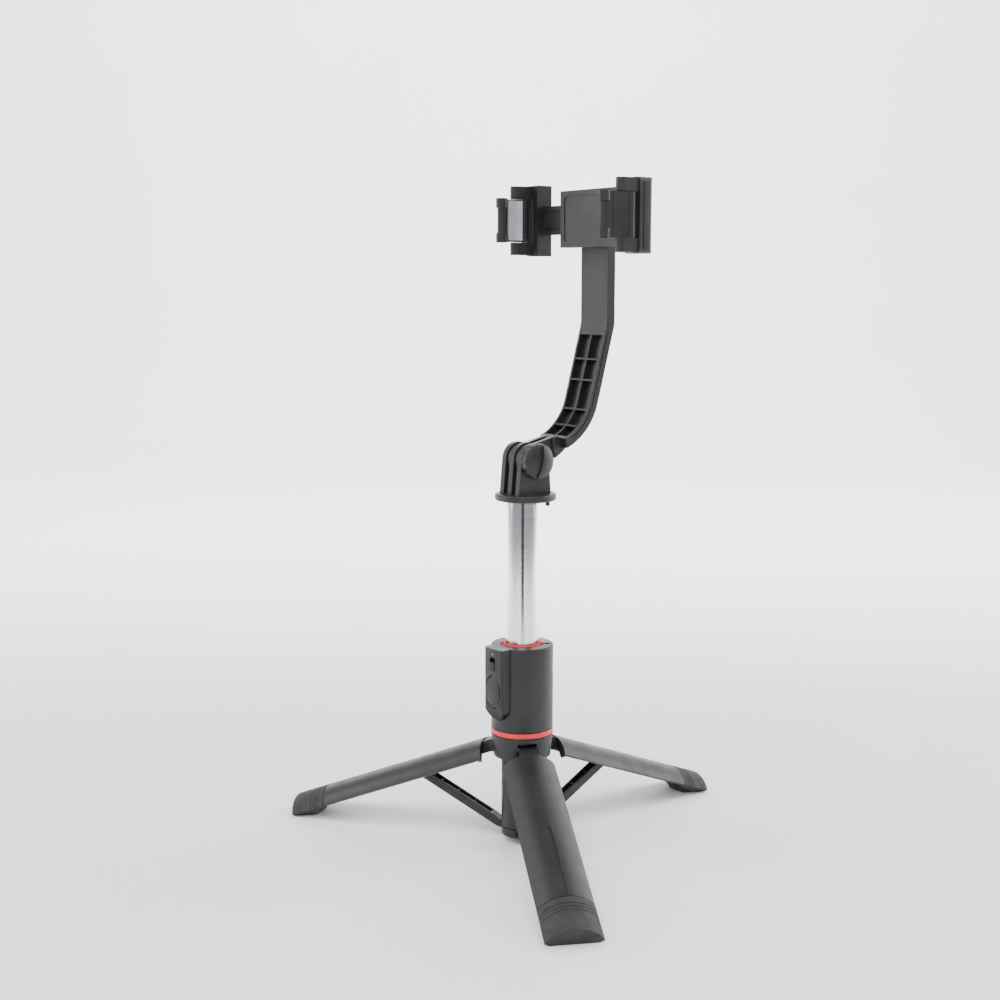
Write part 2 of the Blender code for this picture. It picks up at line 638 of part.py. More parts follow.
def make_knob(parent):
    """A round knob with a fluted rim and a raised bar across its face."""
    flutes = 20
    rim = []
    for i in range(flutes * 2):
        radius = KNOB_RADIUS - (0.35 if i % 2 else 0.0)
        angle = pi * i / flutes
        rim.append((radius * cos(angle), radius * sin(angle)))
    body = extruded(rim, KNOB_IN, KNOB_OUT - 1.6)
    crown_profile = [(0, KNOB_OUT - 0.7), (5.6, KNOB_OUT - 0.9), (7.6, KNOB_OUT - 1.8), (7.6, KNOB_OUT - 3)]
    crown = turned(crown_profile + [(0, KNOB_OUT - 3)], 28, closed=False)
    wing = extruded(rounded(-7.2, 7.2, -0.75, 0.75, 0.6, 3), KNOB_OUT - 3, KNOB_OUT)
    knob = join(body, crown, wing)
    knob = cut(knob, rod(BOLT_RADIUS + GAP, KNOB_IN - 1, KNOB_OUT - 2.3, 20))
    moved(knob, rotation=CROSS_X)
    moved(knob, rotation=(radians(KNOB_TILT), 0, 0))
    finish_part(knob, "clamp_knob", "black_plastic", parent)
    bolt = rod(BOLT_RADIUS, -9.6, KNOB_OUT - 2.6, 20, rotation=CROSS_X)
    finish_part(bolt, "hinge_bolt", "plated_steel", parent)


# --- arm --------------------------------------------------------------------------------------------


def arm_side(face, foot_angle):
    """A line along the arm as (y, z), behind its front face: an arc, a lean and an upright end."""
    lean = radians(ARM_LEAN)
    line = arc(ARC_Y, ARC_Z, ARC_INNER + face, foot_angle, -ARM_LEAN, 10)
    start_y, start_z = line[-1]
    end_y = ARM_FACE_Y + face
    rise = (end_y - start_y) / sin(lean) * cos(lean)
    return line + [(end_y, start_z + rise), (end_y, CLAMP_Z)]


def make_arm_pockets():
    """The cavities in the arm's front, with a rib up the middle and ribs across."""
    lean_start_z = arm_side(0.0, ARM_FRONT_FOOT)[-3][1]
    low = ARM_FRONT_FOOT + POCKET_FOOT
    width = ARM_HALF_WIDTH - ARM_WALL
    pockets = side_plate(arm_side(-1.0, low) + arm_side(ARM_THICK - 1.5, low)[::-1], -width, width)
    ribs = [block((-0.55, 0.55), (0, 60), (180, 300))]
    for angle in (-46.0, -25.5):
        y, z = arc(ARC_Y, ARC_Z, ARC_INNER + 1.5, angle, angle, 1)[0]
        rib = block((-12, 12), (-6, 6), (-0.45, 0.45), rotation=(radians(angle), 0, 0), location=(0, y, z))
        ribs.append(rib)
    for step in (9.0, 19.0):
        ribs.append(block((-12, 12), (20, 60), (lean_start_z + step, lean_start_z + step + 0.9)))
    above = block((-12, 12), (20, 60), (lean_start_z + POCKET_TOP, 330.0))
    return cut(pockets, *ribs, above)


def make_arm(parent):
    width = ARM_HALF_WIDTH
    strip = side_plate(
        arm_side(0.0, ARM_FRONT_FOOT) + arm_side(ARM_THICK, ARM_BACK_FOOT)[::-1], -width, width
    )
    faces = (ARM_FACE_Y, ARM_FACE_Y + ARM_THICK)
    disc = rod(DISC_RADIUS, *faces, 28, rotation=BACKWARD, location=(0, 0, CLAMP_Z))
    arm = cut(join(strip, disc), make_arm_pockets())
    neck_back = [(16.0, 198.6), (20.0, 197.4), (22.5, 193.4), (19.0, 190.4)]
    neck = [(HINGE_Y - 1, HINGE_Z + 6.9), *neck_back, (HINGE_Y + 6.0, HINGE_Z - 3.6)]
    bridge = side_plate([(13.4, 197.0), *neck_back, (15.4, 188.2)], -5.4, 5.4)
    half = (FINGER_PITCH - FINGER) / 2 - GAP
    fingers = []
    for middle in (-FINGER_PITCH / 2, FINGER_PITCH / 2):
        sides = (middle - half, middle + half)
        fingers.append(side_plate(neck, *sides))
        fingers.append(rod(EYE_RADIUS, *sides, 24, rotation=CROSS_X, location=(0, HINGE_Y, HINGE_Z)))
    arm = join(arm, bridge, *fingers)
    bore = rod(BOLT_RADIUS + GAP, -12, 12, 20, rotation=CROSS_X, location=(0, HINGE_Y, HINGE_Z))
    screw_hole = rod(1.8, 30, 60, 20, rotation=BACKWARD, location=(0, 0, CLAMP_Z))
    finish_part(cut(arm, bore, screw_hole), "arm", "black_plastic", parent)


def make_pivot(parent):
    washer_face = ARM_FACE_Y + ARM_THICK + GAP
    washer = ring(3.6, 1.8, washer_face, washer_face + 0.6, 24)
    moved(washer, rotation=BACKWARD, location=(0, 0, CLAMP_Z))
    finish_part(washer, "pivot_washer", "plated_steel", parent)
    head = washer_face + 0.6 + GAP
    tip = ARM_FACE_Y - 1.4
    profile = [(0, head + 1.5), (2.4, head + 1.5), (3.2, head + 0.7), (3.2, head)]
    profile += [(1.5, head), (1.5, tip), (0, tip)]
    screw = turned(profile, 24, closed=False)
    screw = cut(screw, block((-0.35, 0.35), (-1.5, 1.5), (head + 0.8, head + 3)))
    moved(screw, rotation=BACKWARD, location=(0, 0, CLAMP_Z))
    finish_part(screw, "pivot_screw", "plated_steel", parent)


# --- phone clamp ------------------------------------------------------------------------------------


def end_block(side):
    """The tall end of the clamp with its two ears, on the +X side or mirrored to the -X side."""
    curve = 3.4
    corners = [(BLOCK_IN, BLOCK_FRONT), (BLOCK_OUT, BLOCK_FRONT)]
    corners += arc(BLOCK_OUT - curve, BODY_BACK - curve, curve, 0, 90, 6) + [(BLOCK_IN, BODY_BACK)]
    body = extruded([(side * x, y) for x, y in corners], -BLOCK_HALF_HEIGHT, BLOCK_HALF_HEIGHT)
    half = 2.6
    root = BLOCK_FRONT + 1.4
    ear_outline = arc(JAW_PIN_X, EAR_FRONT + half, half, 180, 360, 10)
    ear_outline += [(JAW_PIN_X + half, root), (JAW_PIN_X - half, root)]
    ear_outline = [(side * x, y) for x, y in ear_outline]
    low = JAW_HALF_HEIGHT + GAP
    high = BLOCK_HALF_HEIGHT - 0.5
    ears = [extruded(ear_outline, *heights) for heights in ((-high, -low), (low, high))]
    body = join(body, *ears)
    depth = BLOCK_HALF_HEIGHT - 1.8
    hole = rod(JAW_PIN_RADIUS + GAP, -depth, depth, 14, location=(side * JAW_PIN_X, JAW_PIN_Y, 0))
    return cut(body, hole)


def make_housing(holder):
    right = end_block(1)
    heights = (-BODY_HALF_HEIGHT, BODY_HALF_HEIGHT)
    shell = block((HOUSING_LEFT, BLOCK_IN + 1), (BODY_FRONT, BODY_BACK), heights)
    cavity = block((HOUSING_LEFT + 1.7, 31.0), (BODY_FRONT + 1.6, BODY_BACK + 1), (-11.8, 11.8))
    mouth = block((HOUSING_LEFT - 1, HOUSING_LEFT + 3), (36.9, 40.3), (-7.3, 7.3))
    housing = cut(join(shell, right), cavity, mouth)
    finish_part(housing, "holder_housing", "black_plastic", holder)
    cover = block((HOUSING_LEFT + 2.0, 30.7), (BODY_BACK - 1.3, BODY_BACK), (-11.5, 11.5))
    cover = cut(cover, rod(1.8, 38, 50, 20, rotation=BACKWARD))
    top = BODY_BACK - 0.1
    foot = BODY_BACK - 1.3
    profile = [(0, top), (1.1, top), (1.5, top - 0.3), (1.5, foot), (0, foot)]
    for number, (x, z) in enumerate(COVER_SCREWS, start=1):
        cover = cut(cover, rod(1.8, 38, 50, 16, rotation=BACKWARD, location=(x, 0, z)))
        screw = turned(profile, 14, rotation=BACKWARD, location=(x, 0, z), closed=False)
        finish_part(screw, f"holder_screw_{number}", "plated_steel", holder)
    finish_part(cover, "holder_back_cover", "black_plastic", holder)


def make_springs(holder):
    """Two compression springs between the housing's left wall and the carriage's tail."""
    turns = 7
    start = HOUSING_LEFT + 1.7 + 0.6
    end = 3.6
    for number, z in enumerate((-SPRING_Z, SPRING_Z), start=1):
        curve = bpy.data.curves.new("coil", "CURVE")
        curve.dimensions = "3D"
        curve.bevel_depth = WIRE_RADIUS * MM
        curve.bevel_resolution = 0
        curve.use_fill_caps = True
        spline = curve.splines.new("POLY")
        count = turns * 8
        spline.points.add(count)
        for i, point in enumerate(spline.points):
            angle = 2 * pi * i / 8
            x = start + (end - start) * i / count
            y = SPRING_Y + COIL_RADIUS * cos(angle)
            point.co = (x * MM, y * MM, (z + COIL_RADIUS * sin(angle)) * MM, 1.0)
        coil = to_mesh(link("coil", curve, CUTTERS))
        finish_part(coil, f"holder_spring_{number}", "plated_steel", holder)


def make_carriage(carriage):
    left = end_block(-1)
    tongue = block((-BLOCK_IN - 1, 4.5), (37.2, 40.0), (-7.0, 7.0))
    tail = block((4.0, 6.0), (37.0, 40.2), (-11.3, 11.3))
    body = join(left, tongue, tail)
    finish_part(body, "carriage", "black_plastic", carriage)


def make_jaw(name, side, jaw, holder):
    """A jaw that swings about an upright pin: a plate, a thick front bar with knuckles, and a pad."""
    side_line = arc(JAW_PIN_X, JAW_PIN_Y, 2.8, -7.4, 237.6, 12)
    side_line += arc(JAW_TIP_X, JAW_TIP_Y, 2.1, 101, 352.6, 12)
    knuckle = arc(JAW_TIP_X, JAW_TIP_Y, 2.8, 0, 340, 17)

    def solid(outline, low, high):
        points = [(side * (x - JAW_PIN_X), y - JAW_PIN_Y) for x, y in outline]
        return extruded(points, low, high)

    top = JAW_HALF_HEIGHT
    knuckles = [solid(knuckle, *ends) for ends in ((-top - 0.4, -top + 4.2), (top - 4.2, top + 0.4))]
    body = join(solid(side_line, -top, top), *knuckles)
    body = cut(body, rod(JAW_PIN_RADIUS + GAP, -20, 20, 14))
    finish_part(body, name, "black_plastic", jaw)
    backing = PHONE_HALF_WIDTH + 1.5
    face = PHONE_HALF_WIDTH
    pad_outline = [(backing, 18.9), (face, 18.9), (face, 20.6), (face + 1.0, 24.4)]
    pad_outline += [(face, 27.2), (backing, 27.2)]
    pad_half = JAW_HALF_HEIGHT - 0.7
    finish_part(solid(pad_outline, -pad_half, pad_half), f"{name}_pad", "grey_pad", jaw)
    half = BLOCK_HALF_HEIGHT - 2.2
    pin = rod(JAW_PIN_RADIUS, -half, half, 14, location=(side * JAW_PIN_X, JAW_PIN_Y, 0))
    finish_part(pin, f"{name}_pin", "plated_steel", holder)


# --- assembly ---------------------------------------------------------------------------------------


def build():
    axis = new_frame("pole_axis", location=(AXIS_X, AXIS_Y, 0))
    base = new_frame("base_frame", axis, rotation=(0, 0, radians(BASE_YAW)))
    make_hub_shell(base)
    make_hub_core(base)
    make_leg_carrier(base)
    make_hub_trim(base)
    make_hinge_pins(base)
    remote = new_frame("remote_frame", base)
    make_remote(remote, new_frame("button_frame", remote), new_frame("switch_frame", remote))
    for number, azimuth in enumerate(LEG_AZIMUTHS, start=1):
        radial = new_frame(f"leg_{number}_plane", base, rotation=facing(azimuth))
        pivot = new_frame(f"leg_{number}_hinge", radial, (PIVOT_RADIUS, 0, PIVOT_HEIGHT), (0, -OPEN, 0))
        make_leg_shell(number, pivot)
        make_foot_pad(number, pivot)
        spot = (STRUT_TOP_OPEN_R, 0, STRUT_TOP_OPEN_Z)
        make_strut(number, new_frame(f"strut_{number}_hinge", radial, spot, (0, radians(STRUT_LEAN), 0)))
    pole = new_frame("pole_frame", base)
    make_column(pole)
    for number in range(1, TUBE_COUNT + 1):
        make_tube(number, pole)
    head = new_frame("head_frame", axis)
    make_head(head)
    make_knob(new_frame("knob_frame", head, (0, HINGE_Y, HINGE_Z)))
    make_arm(head)
    make_pivot(head)
    holder = new_frame("holder_frame", head, (0, 0, CLAMP_Z))
    make_housing(holder)
    make_springs(holder)
    carriage = new_frame("carriage_frame", holder)
    make_carriage(carriage)
    right = new_frame("right_jaw_hinge", holder, (JAW_PIN_X, JAW_PIN_Y, 0))
    make_jaw("right_jaw", 1, right, holder)
    left = new_frame("left_jaw_hinge", carriage, (-JAW_PIN_X, JAW_PIN_Y, 0))
    make_jaw("left_jaw", -1, left, carriage)
    bpy.data.collections.remove(CUTTERS)


build()
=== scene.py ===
"""Looks of the tripod selfie stick: fine meshes that stand for the CAD nodes, materials, studio and camera.

Shapes are laid out in millimetres about the pole's axis, as the CAD model is, and a matrix puts each one in
the frame. Azimuths are measured from -Y towards +X.
"""

import json
from math import atan2, cos, degrees, pi, radians, sin, sqrt

import bmesh
import bpy
from mathutils import Matrix, Vector


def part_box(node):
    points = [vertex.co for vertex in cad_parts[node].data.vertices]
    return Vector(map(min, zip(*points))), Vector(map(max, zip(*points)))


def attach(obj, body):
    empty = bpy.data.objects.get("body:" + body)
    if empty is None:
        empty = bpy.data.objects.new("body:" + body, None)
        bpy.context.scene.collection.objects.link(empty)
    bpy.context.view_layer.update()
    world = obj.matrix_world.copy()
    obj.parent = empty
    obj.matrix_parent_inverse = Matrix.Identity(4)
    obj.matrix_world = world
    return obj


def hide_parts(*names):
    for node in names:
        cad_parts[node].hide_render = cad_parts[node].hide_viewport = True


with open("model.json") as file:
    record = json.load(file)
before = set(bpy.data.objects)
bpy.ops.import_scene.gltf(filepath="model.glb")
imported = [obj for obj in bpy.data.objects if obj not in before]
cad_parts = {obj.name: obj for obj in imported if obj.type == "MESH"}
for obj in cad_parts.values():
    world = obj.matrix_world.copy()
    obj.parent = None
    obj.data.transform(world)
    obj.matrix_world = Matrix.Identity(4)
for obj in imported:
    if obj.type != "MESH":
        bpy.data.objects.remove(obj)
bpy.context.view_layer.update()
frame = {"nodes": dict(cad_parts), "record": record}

MM = 0.001
GAP = 0.3

# Hub and pole
BASE_YAW = 4.0
HUB_RADIUS = 15.0
HUB_WALL = 1.6
HUB_TOP = 98.9
HUB_BOTTOM = 57.9
TOP_PLATE = 1.75
BORE_RADIUS = 8.05
BUSHING_RADIUS = 9.0
SKIRT_BOTTOM = 43.5
SKIRT_RADIUS = 13.9
SPIGOT_RADIUS = 13.2
ARCH_FOOT = 11.4
ARCH_CROWN = 4.8
ARCH_TOP = 50.9
BAND_BOTTOM = 55.15
BAND_TOP = 57.6
CORE_TOP = 90.0
NOTCH_AZIMUTH = 230.0
PEG_RADIUS = 12.0
PEG_AZIMUTH = 139.7

# Legs and struts
LEG_AZIMUTHS = (60.0, 180.0, -60.0)
PIVOT_RADIUS = 12.0
PIVOT_HEIGHT = 49.1
OPEN_ANGLE = 68.2
LEG_START = 7.0
LEG_END = 118.4
LEG_WALL = 1.7
LEG_HALF_ARC = 59.0
PAD_START = 99.5
WEDGE_START = 109.0
TONGUE = 7.0
LUG_HALF_WIDTH = 4.2
EAR = 1.4
HINGE_PIN_RADIUS = 0.9
HINGE_PIN_HALF = 5.6
STRUT_TOP_RADIUS = 10.95
STRUT_TOP_DROP = 47.99
STRUT_FOOT_RADIUS = 8.3
STRUT_FOOT_HEIGHT = 6.0
STRUT_HALF_WIDTH = 2.6
STRUT_OUTER = 1.9
STRUT_INNER = 2.5
STRUT_PIN_RADIUS = 0.7

# Column and telescopic tubes
COLUMN_RADIUS = 10.0
COLUMN_BOTTOM = 3.2
COLUMN_TOP = 47.8
COLUMN_SEAM = 7.6
SLOT_FLOOR = 4.4
SLOT_DEPTH_RADIUS = 5.2
SLOT_HALF_WIDTH = 3.3
LOWER_PIN_RADIUS = 0.6
TUBE_RADIUS = 7.23
TUBE_STEP = 0.72
TUBE_WALL = 0.42
TUBE_COUNT = 6
TUBE_TOP = 168.5
TUBE_BOTTOM = 42.0

# Head
FLANGE_BOTTOM = 168.8
FLANGE_TOP = 172.0
FLANGE_RADIUS = 14.7
FLANGE_SHIFT = 1.8
HINGE_Y = 1.8
HINGE_Z = 188.0
FINGER = 3.1
FINGER_PITCH = 6.2
FINGER_RADIUS = 8.2
FOOT_FRONT = -8.0
FOOT_BACK = 11.0
KNOB_RADIUS = 8.55
KNOB_IN = 8.1
KNOB_OUT = 14.6
KNOB_TILT = -11.5
BOLT_RADIUS = 2.0

# Arm
ARM_HALF_WIDTH = 10.0
ARC_Y = 7.8
ARC_Z = 222.0
ARC_INNER = 26.2
ARM_THICK = 4.7
ARM_LEAN = 15.0
ARM_FACE_Y = 42.9
ARM_FRONT_FOOT = -67.0
ARM_BACK_FOOT = -69.0
ARM_WALL = 1.35
POCKET_FOOT = 4.5
POCKET_TOP = 31.0
EYE_RADIUS = 7.4
CLAMP_Z = 301.5
DISC_RADIUS = 11.0

# Phone clamp
BODY_FRONT = 34.4
BODY_BACK = 42.5
BODY_HALF_HEIGHT = 13.5
BLOCK_HALF_HEIGHT = 17.2
BLOCK_OUT = 43.5
BLOCK_IN = 33.5
BLOCK_FRONT = 33.6
EAR_FRONT = 22.6
HOUSING_LEFT = -16.0
COVER_SCREWS = ((-12.0, 8.6), (26.5, -8.6))
SPRING_Y = 38.6
SPRING_Z = 9.3
COIL_RADIUS = 1.3
WIRE_RADIUS = 0.28
JAW_PIN_X = 40.3
JAW_PIN_Y = 30.0
JAW_PIN_RADIUS = 0.9
JAW_HALF_HEIGHT = 10.3
JAW_TIP_Y = 16.0
JAW_TIP_X = 39.2
PHONE_HALF_WIDTH = 37.0

# Remote
REMOTE_HALF_WIDTH = 6.8
REMOTE_FRONT = 18.8
REMOTE_BACK = 10.6
REMOTE_SPLIT = 13.2
REMOTE_TURN_Z = 70.2
CHIN_TOP = 75.5
CHIN_RADIUS = 25.0
BUTTON_Z = 77.6
SWITCH_Z = 91.4

# Camera: where it stands from the pole's axis, and how it looks
CAMERA_PLACE = (558.46, -414.5, 270.0)
CAMERA_YAW = 54.3
CAMERA_PITCH = 8.289
CAMERA_LENS = 53.08

# Facets round a wide, a middling and a narrow circle
SMOOTH = 128
ROUND = 96
FINE = 48

AXLE = Matrix.Rotation(pi / 2, 4, "X")
BACKWARD = Matrix.Rotation(-pi / 2, 4, "X")
CROSS_X = Matrix.Rotation(pi / 2, 4, "Y")

BODY_OF = {}
for body_name, body_nodes in frame["record"]["behaviour"]["bodies"].items():
    for node_name in body_nodes:
        BODY_OF[node_name] = body_name

POLE_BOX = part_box("pole_tube_1")
AXIS = (Vector(POLE_BOX[0]) + Vector(POLE_BOX[1])) / 2 / MM


# --- places -----------------------------------------------------------------------------------------


def shift(x, y, z):
    return Matrix.Translation(Vector((x, y, z)) * MM)


def spin(angle, axis="Z"):
    return Matrix.Rotation(radians(angle), 4, axis)


STRUT_TOP_X = STRUT_TOP_RADIUS - PIVOT_RADIUS
OPEN = radians(OPEN_ANGLE)
STRUT_TOP_OPEN_R = PIVOT_RADIUS + STRUT_TOP_X * cos(OPEN) + STRUT_TOP_DROP * sin(OPEN)
STRUT_TOP_OPEN_Z = PIVOT_HEIGHT + STRUT_TOP_X * sin(OPEN) - STRUT_TOP_DROP * cos(OPEN)
STRUT_RUN = STRUT_TOP_OPEN_R - STRUT_FOOT_RADIUS
STRUT_RISE = STRUT_TOP_OPEN_Z - STRUT_FOOT_HEIGHT
STRUT_LENGTH = sqrt(STRUT_RUN**2 + STRUT_RISE**2)
STRUT_LEAN = degrees(atan2(STRUT_RUN, STRUT_RISE))

HEAD = shift(AXIS.x, AXIS.y, 0)
BASE = HEAD @ spin(BASE_YAW)
HINGE = HEAD @ shift(0, HINGE_Y, HINGE_Z)
HOLDER = HEAD @ shift(0, 0, CLAMP_Z)


def leg_plane(azimuth):
    """+X runs out along the leg's azimuth."""
    return BASE @ spin(azimuth - 90)


def leg_place(azimuth):
    """The leg's own frame, folded straight down along -Z from its hinge."""
    return leg_plane(azimuth) @ shift(PIVOT_RADIUS, 0, PIVOT_HEIGHT) @ spin(-OPEN_ANGLE, "Y")


def strut_place(azimuth):
    return leg_plane(azimuth) @ shift(STRUT_TOP_OPEN_R, 0, STRUT_TOP_OPEN_Z) @ spin(STRUT_LEAN, "Y")


def around(radius, azimuth, z=0.0):
    return radius * sin(radians(azimuth)), -radius * cos(radians(azimuth)), z


# --- outlines ---------------------------------------------------------------------------------------


def arc(cx, cy, radius, start, end, steps):
    """Points on a circle from the start angle to the end angle, in degrees."""
    angles = [radians(start + (end - start) * i / steps) for i in range(steps + 1)]
    return [(cx + radius * cos(a), cy + radius * sin(a)) for a in angles]


def rectangle(x0, x1, y0, y1):
    return [(x0, y0), (x1, y0), (x1, y1), (x0, y1)]


def rounded(x0, x1, y0, y1, radius, steps=8):
    corners = ((x1, y1, -1, -1, 0), (x0, y1, 1, -1, 90), (x0, y0, 1, 1, 180), (x1, y0, -1, 1, 270))
    outline = []
    for x, y, sx, sy, start in corners:
        outline += arc(x + sx * radius, y + sy * radius, radius, start, start + 90, steps)
    return outline


def sector(inner, outer, half_angle, steps, cx=0.0):
    """A piece of a ring about +X, with its centre at (cx, 0)."""
    outline = arc(cx, 0.0, outer, -half_angle, half_angle, steps)
    return outline + arc(cx, 0.0, inner, half_angle, -half_angle, steps)


def tombstone(half_width, turn_z, top):
    """The remote's front outline, as (x, z) with a round bottom."""
    return arc(0.0, turn_z, half_width, 180, 360, 32) + [(half_width, top), (-half_width, top)]


def oval(half_width, half_height, z, steps=56):
    angles = [2 * pi * i / steps for i in range(steps)]
    return [(half_width * cos(a), z + half_height * sin(a)) for a in angles]


# --- solids -----------------------------------------------------------------------------------------


def solid_from(shape_object):
    """The object's evaluated shape as a welded mesh object, with flat areas merged into single faces."""
    graph = bpy.context.evaluated_depsgraph_get()
    mesh = bpy.data.meshes.new_from_object(shape_object.evaluated_get(graph))
    shape = bmesh.new()
    shape.from_mesh(mesh)
    bmesh.ops.remove_doubles(shape, verts=shape.verts, dist=1e-6)
    bmesh.ops.dissolve_limit(shape, angle_limit=radians(0.4), verts=shape.verts, edges=shape.edges)
    shape.to_mesh(mesh)
    shape.free()
    bpy.data.objects.remove(shape_object, do_unlink=True)
    solid = bpy.data.objects.new("solid", mesh)
    bpy.context.scene.collection.objects.link(solid)
    return solid


def moved(solid, matrix):
    solid.data.transform(matrix)
    return solid


def extruded(outline, low, high, matrix=None):
    """A flat outline with thickness, from low to high along its own Z."""
    curve = bpy.data.curves.new("outline", "CURVE")
    curve.dimensions = "2D"
    curve.fill_mode = "BOTH"
    curve.extrude = (high - low) / 2 * MM
    spline = curve.splines.new("POLY")
    spline.points.add(len(outline) - 1)
    for point, (x, y) in zip(spline.points, outline):
        point.co = (x * MM, y * MM, 0.0, 1.0)
    spline.use_cyclic_u = True
    obj = bpy.data.objects.new("outline", curve)
    bpy.context.scene.collection.objects.link(obj)
    solid = moved(solid_from(obj), shift(0, 0, (low + high) / 2))
    return moved(solid, matrix) if matrix else solid


def turned(profile, steps=ROUND, matrix=None, closed=True):
    """A profile of (radius, height) points turned about Z, its outer side listed from the top down."""
    mesh = bpy.data.meshes.new("profile")
    count = len(profile)
    edges = [(i, i + 1) for i in range(count - 1)] + ([(count - 1, 0)] if closed else [])
    mesh.from_pydata([(r * MM, 0.0, z * MM) for r, z in profile], edges, [])
    obj = bpy.data.objects.new("profile", mesh)
    bpy.context.scene.collection.objects.link(obj)
    screw = obj.modifiers.new("turn", "SCREW")
    screw.steps = screw.render_steps = steps
    screw.use_merge_vertices = True
    screw.merge_threshold = 1e-6
    solid = solid_from(obj)
    return moved(solid, matrix) if matrix else solid


def rod(radius, low, high, steps=FINE, matrix=None):
    return turned([(0, high), (radius, high), (radius, low), (0, low)], steps, matrix, closed=False)


def ring(outer, inner, low, high, steps=ROUND, matrix=None):
    return turned([(outer, high), (outer, low), (inner, low), (inner, high)], steps, matrix)


def block(x, y, z, matrix=None):
    return extruded(rectangle(*x, *y), *z, matrix)


def side_plate(outline, low, high):
    """A solid whose outline is given as (y, z) and whose thickness runs along X."""
    return extruded(outline, low, high, spin(90) @ AXLE)


def combine(body, tools, operation):
    for tool in tools:
        boolean = body.modifiers.new("boolean", "BOOLEAN")
        boolean.operation = operation
        boolean.object = tool
        body = solid_from(body)
        bpy.data.objects.remove(tool, do_unlink=True)
    return body


def cut(body, *tools):
    return combine(body, tools, "DIFFERENCE")


def join(body, *tools):
    return combine(body, tools, "UNION")


# --- materials --------------------------------------------------------------------------------------


class Surface:
    """A procedural material under construction: a Principled shader and helpers for what drives it."""

    def __init__(self, name, colour, roughness, metallic=0.0):
        self.material = bpy.data.materials.new(name)
        self.material.use_nodes = True
        self.nodes = self.material.node_tree.nodes
        self.links = self.material.node_tree.links
        self.shader = self.nodes["Principled BSDF"]
        self.shader.inputs["Base Color"].default_value = (*colour, 1.0)
        self.shader.inputs["Roughness"].default_value = roughness
        self.shader.inputs["Metallic"].default_value = metallic
        self.place = self.nodes.new("ShaderNodeTexCoord").outputs["Object"]

    def stretch(self, x, y, z):
        mapping = self.nodes.new("ShaderNodeMapping")
        mapping.inputs["Scale"].default_value = (x, y, z)
        self.links.new(self.place, mapping.inputs["Vector"])
        return mapping.outputs["Vector"]

    def noise(self, scale, detail=4.0, vector=None):
        texture = self.nodes.new("ShaderNodeTexNoise")
        texture.inputs["Scale"].default_value = scale
        texture.inputs["Detail"].default_value = detail
        self.links.new(vector or self.place, texture.inputs["Vector"])
        return texture.outputs["Fac"]

    def cells(self, scale, vector=None):
        texture = self.nodes.new("ShaderNodeTexVoronoi")
        texture.inputs["Scale"].default_value = scale
        self.links.new(vector or self.place, texture.inputs["Vector"])
        return texture.outputs["Distance"]

    def span(self, value, low, high, start=0.3, end=0.7):
        """The value from start to end, carried to low to high."""
        spread = self.nodes.new("ShaderNodeMapRange")
        spread.inputs["From Min"].default_value = start
        spread.inputs["From Max"].default_value = end
        spread.inputs["To Min"].default_value = low
        spread.inputs["To Max"].default_value = high
        self.links.new(value, spread.inputs["Value"])
        return spread.outputs["Result"]

    def blend(self, factor, first, second):
        mix = self.nodes.new("ShaderNodeMix")
        mix.data_type = "RGBA"
        self.links.new(factor, mix.inputs["Factor"])
        mix.inputs["A"].default_value = (*first, 1.0)
        mix.inputs["B"].default_value = (*second, 1.0)
        self.links.new(mix.outputs["Result"], self.shader.inputs["Base Color"])

    def rough(self, value):
        self.links.new(value, self.shader.inputs["Roughness"])

    def bump(self, height, distance, strength=1.0, under=None):
        relief = self.nodes.new("ShaderNodeBump")
        relief.inputs["Strength"].default_value = strength
        relief.inputs["Distance"].default_value = distance * MM
        self.links.new(height, relief.inputs["Height"])
        if under:
            self.links.new(under, relief.inputs["Normal"])
        self.links.new(relief.outputs["Normal"], self.shader.inputs["Normal"])
        return relief.outputs["Normal"]


def make_black_plastic(name="moulded_black", roughness=(0.36, 0.5)):
    """Spark-eroded black plastic: a fine grain, with faint smudges from handling."""
    surface = Surface(name, (0.03, 0.032, 0.036), 0.45)
    surface.shader.inputs["Specular IOR Level"].default_value = 0.38
    smudge = surface.noise(45, 3)
    surface.blend(surface.span(smudge, 0.0, 1.0), (0.011, 0.0115, 0.013), (0.016, 0.0168, 0.019))
    surface.rough(surface.span(surface.noise(120, 6), *roughness))
    broad = surface.bump(surface.noise(700, 3), 0.015, 0.35)
    surface.bump(surface.cells(3600), 0.008, 0.5, under=broad)
    return surface.material


def make_rubber():
    """Matte moulded rubber, with dust in its grain."""
    surface = Surface("foot_rubber", (0.03, 0.031, 0.033), 0.75)
    surface.blend(surface.span(surface.noise(90, 5), 0, 1), (0.012, 0.0125, 0.014), (0.024, 0.0245, 0.026))
    surface.rough(surface.span(surface.noise(300, 4), 0.62, 0.8))
    broad = surface.bump(surface.noise(500, 2), 0.03, 0.4)
    surface.bump(surface.noise(2600, 4), 0.02, 0.6, under=broad)
    return surface.material


def make_red_plastic():
    surface = Surface("red_trim", (0.6, 0.04, 0.045), 0.34)
    surface.blend(surface.span(surface.noise(150, 3), 0, 1), (0.62, 0.012, 0.016), (0.74, 0.02, 0.024))
    surface.rough(surface.span(surface.noise(400, 5), 0.28, 0.42))
    surface.bump(surface.noise(1500, 3), 0.008, 0.4)
    return surface.material


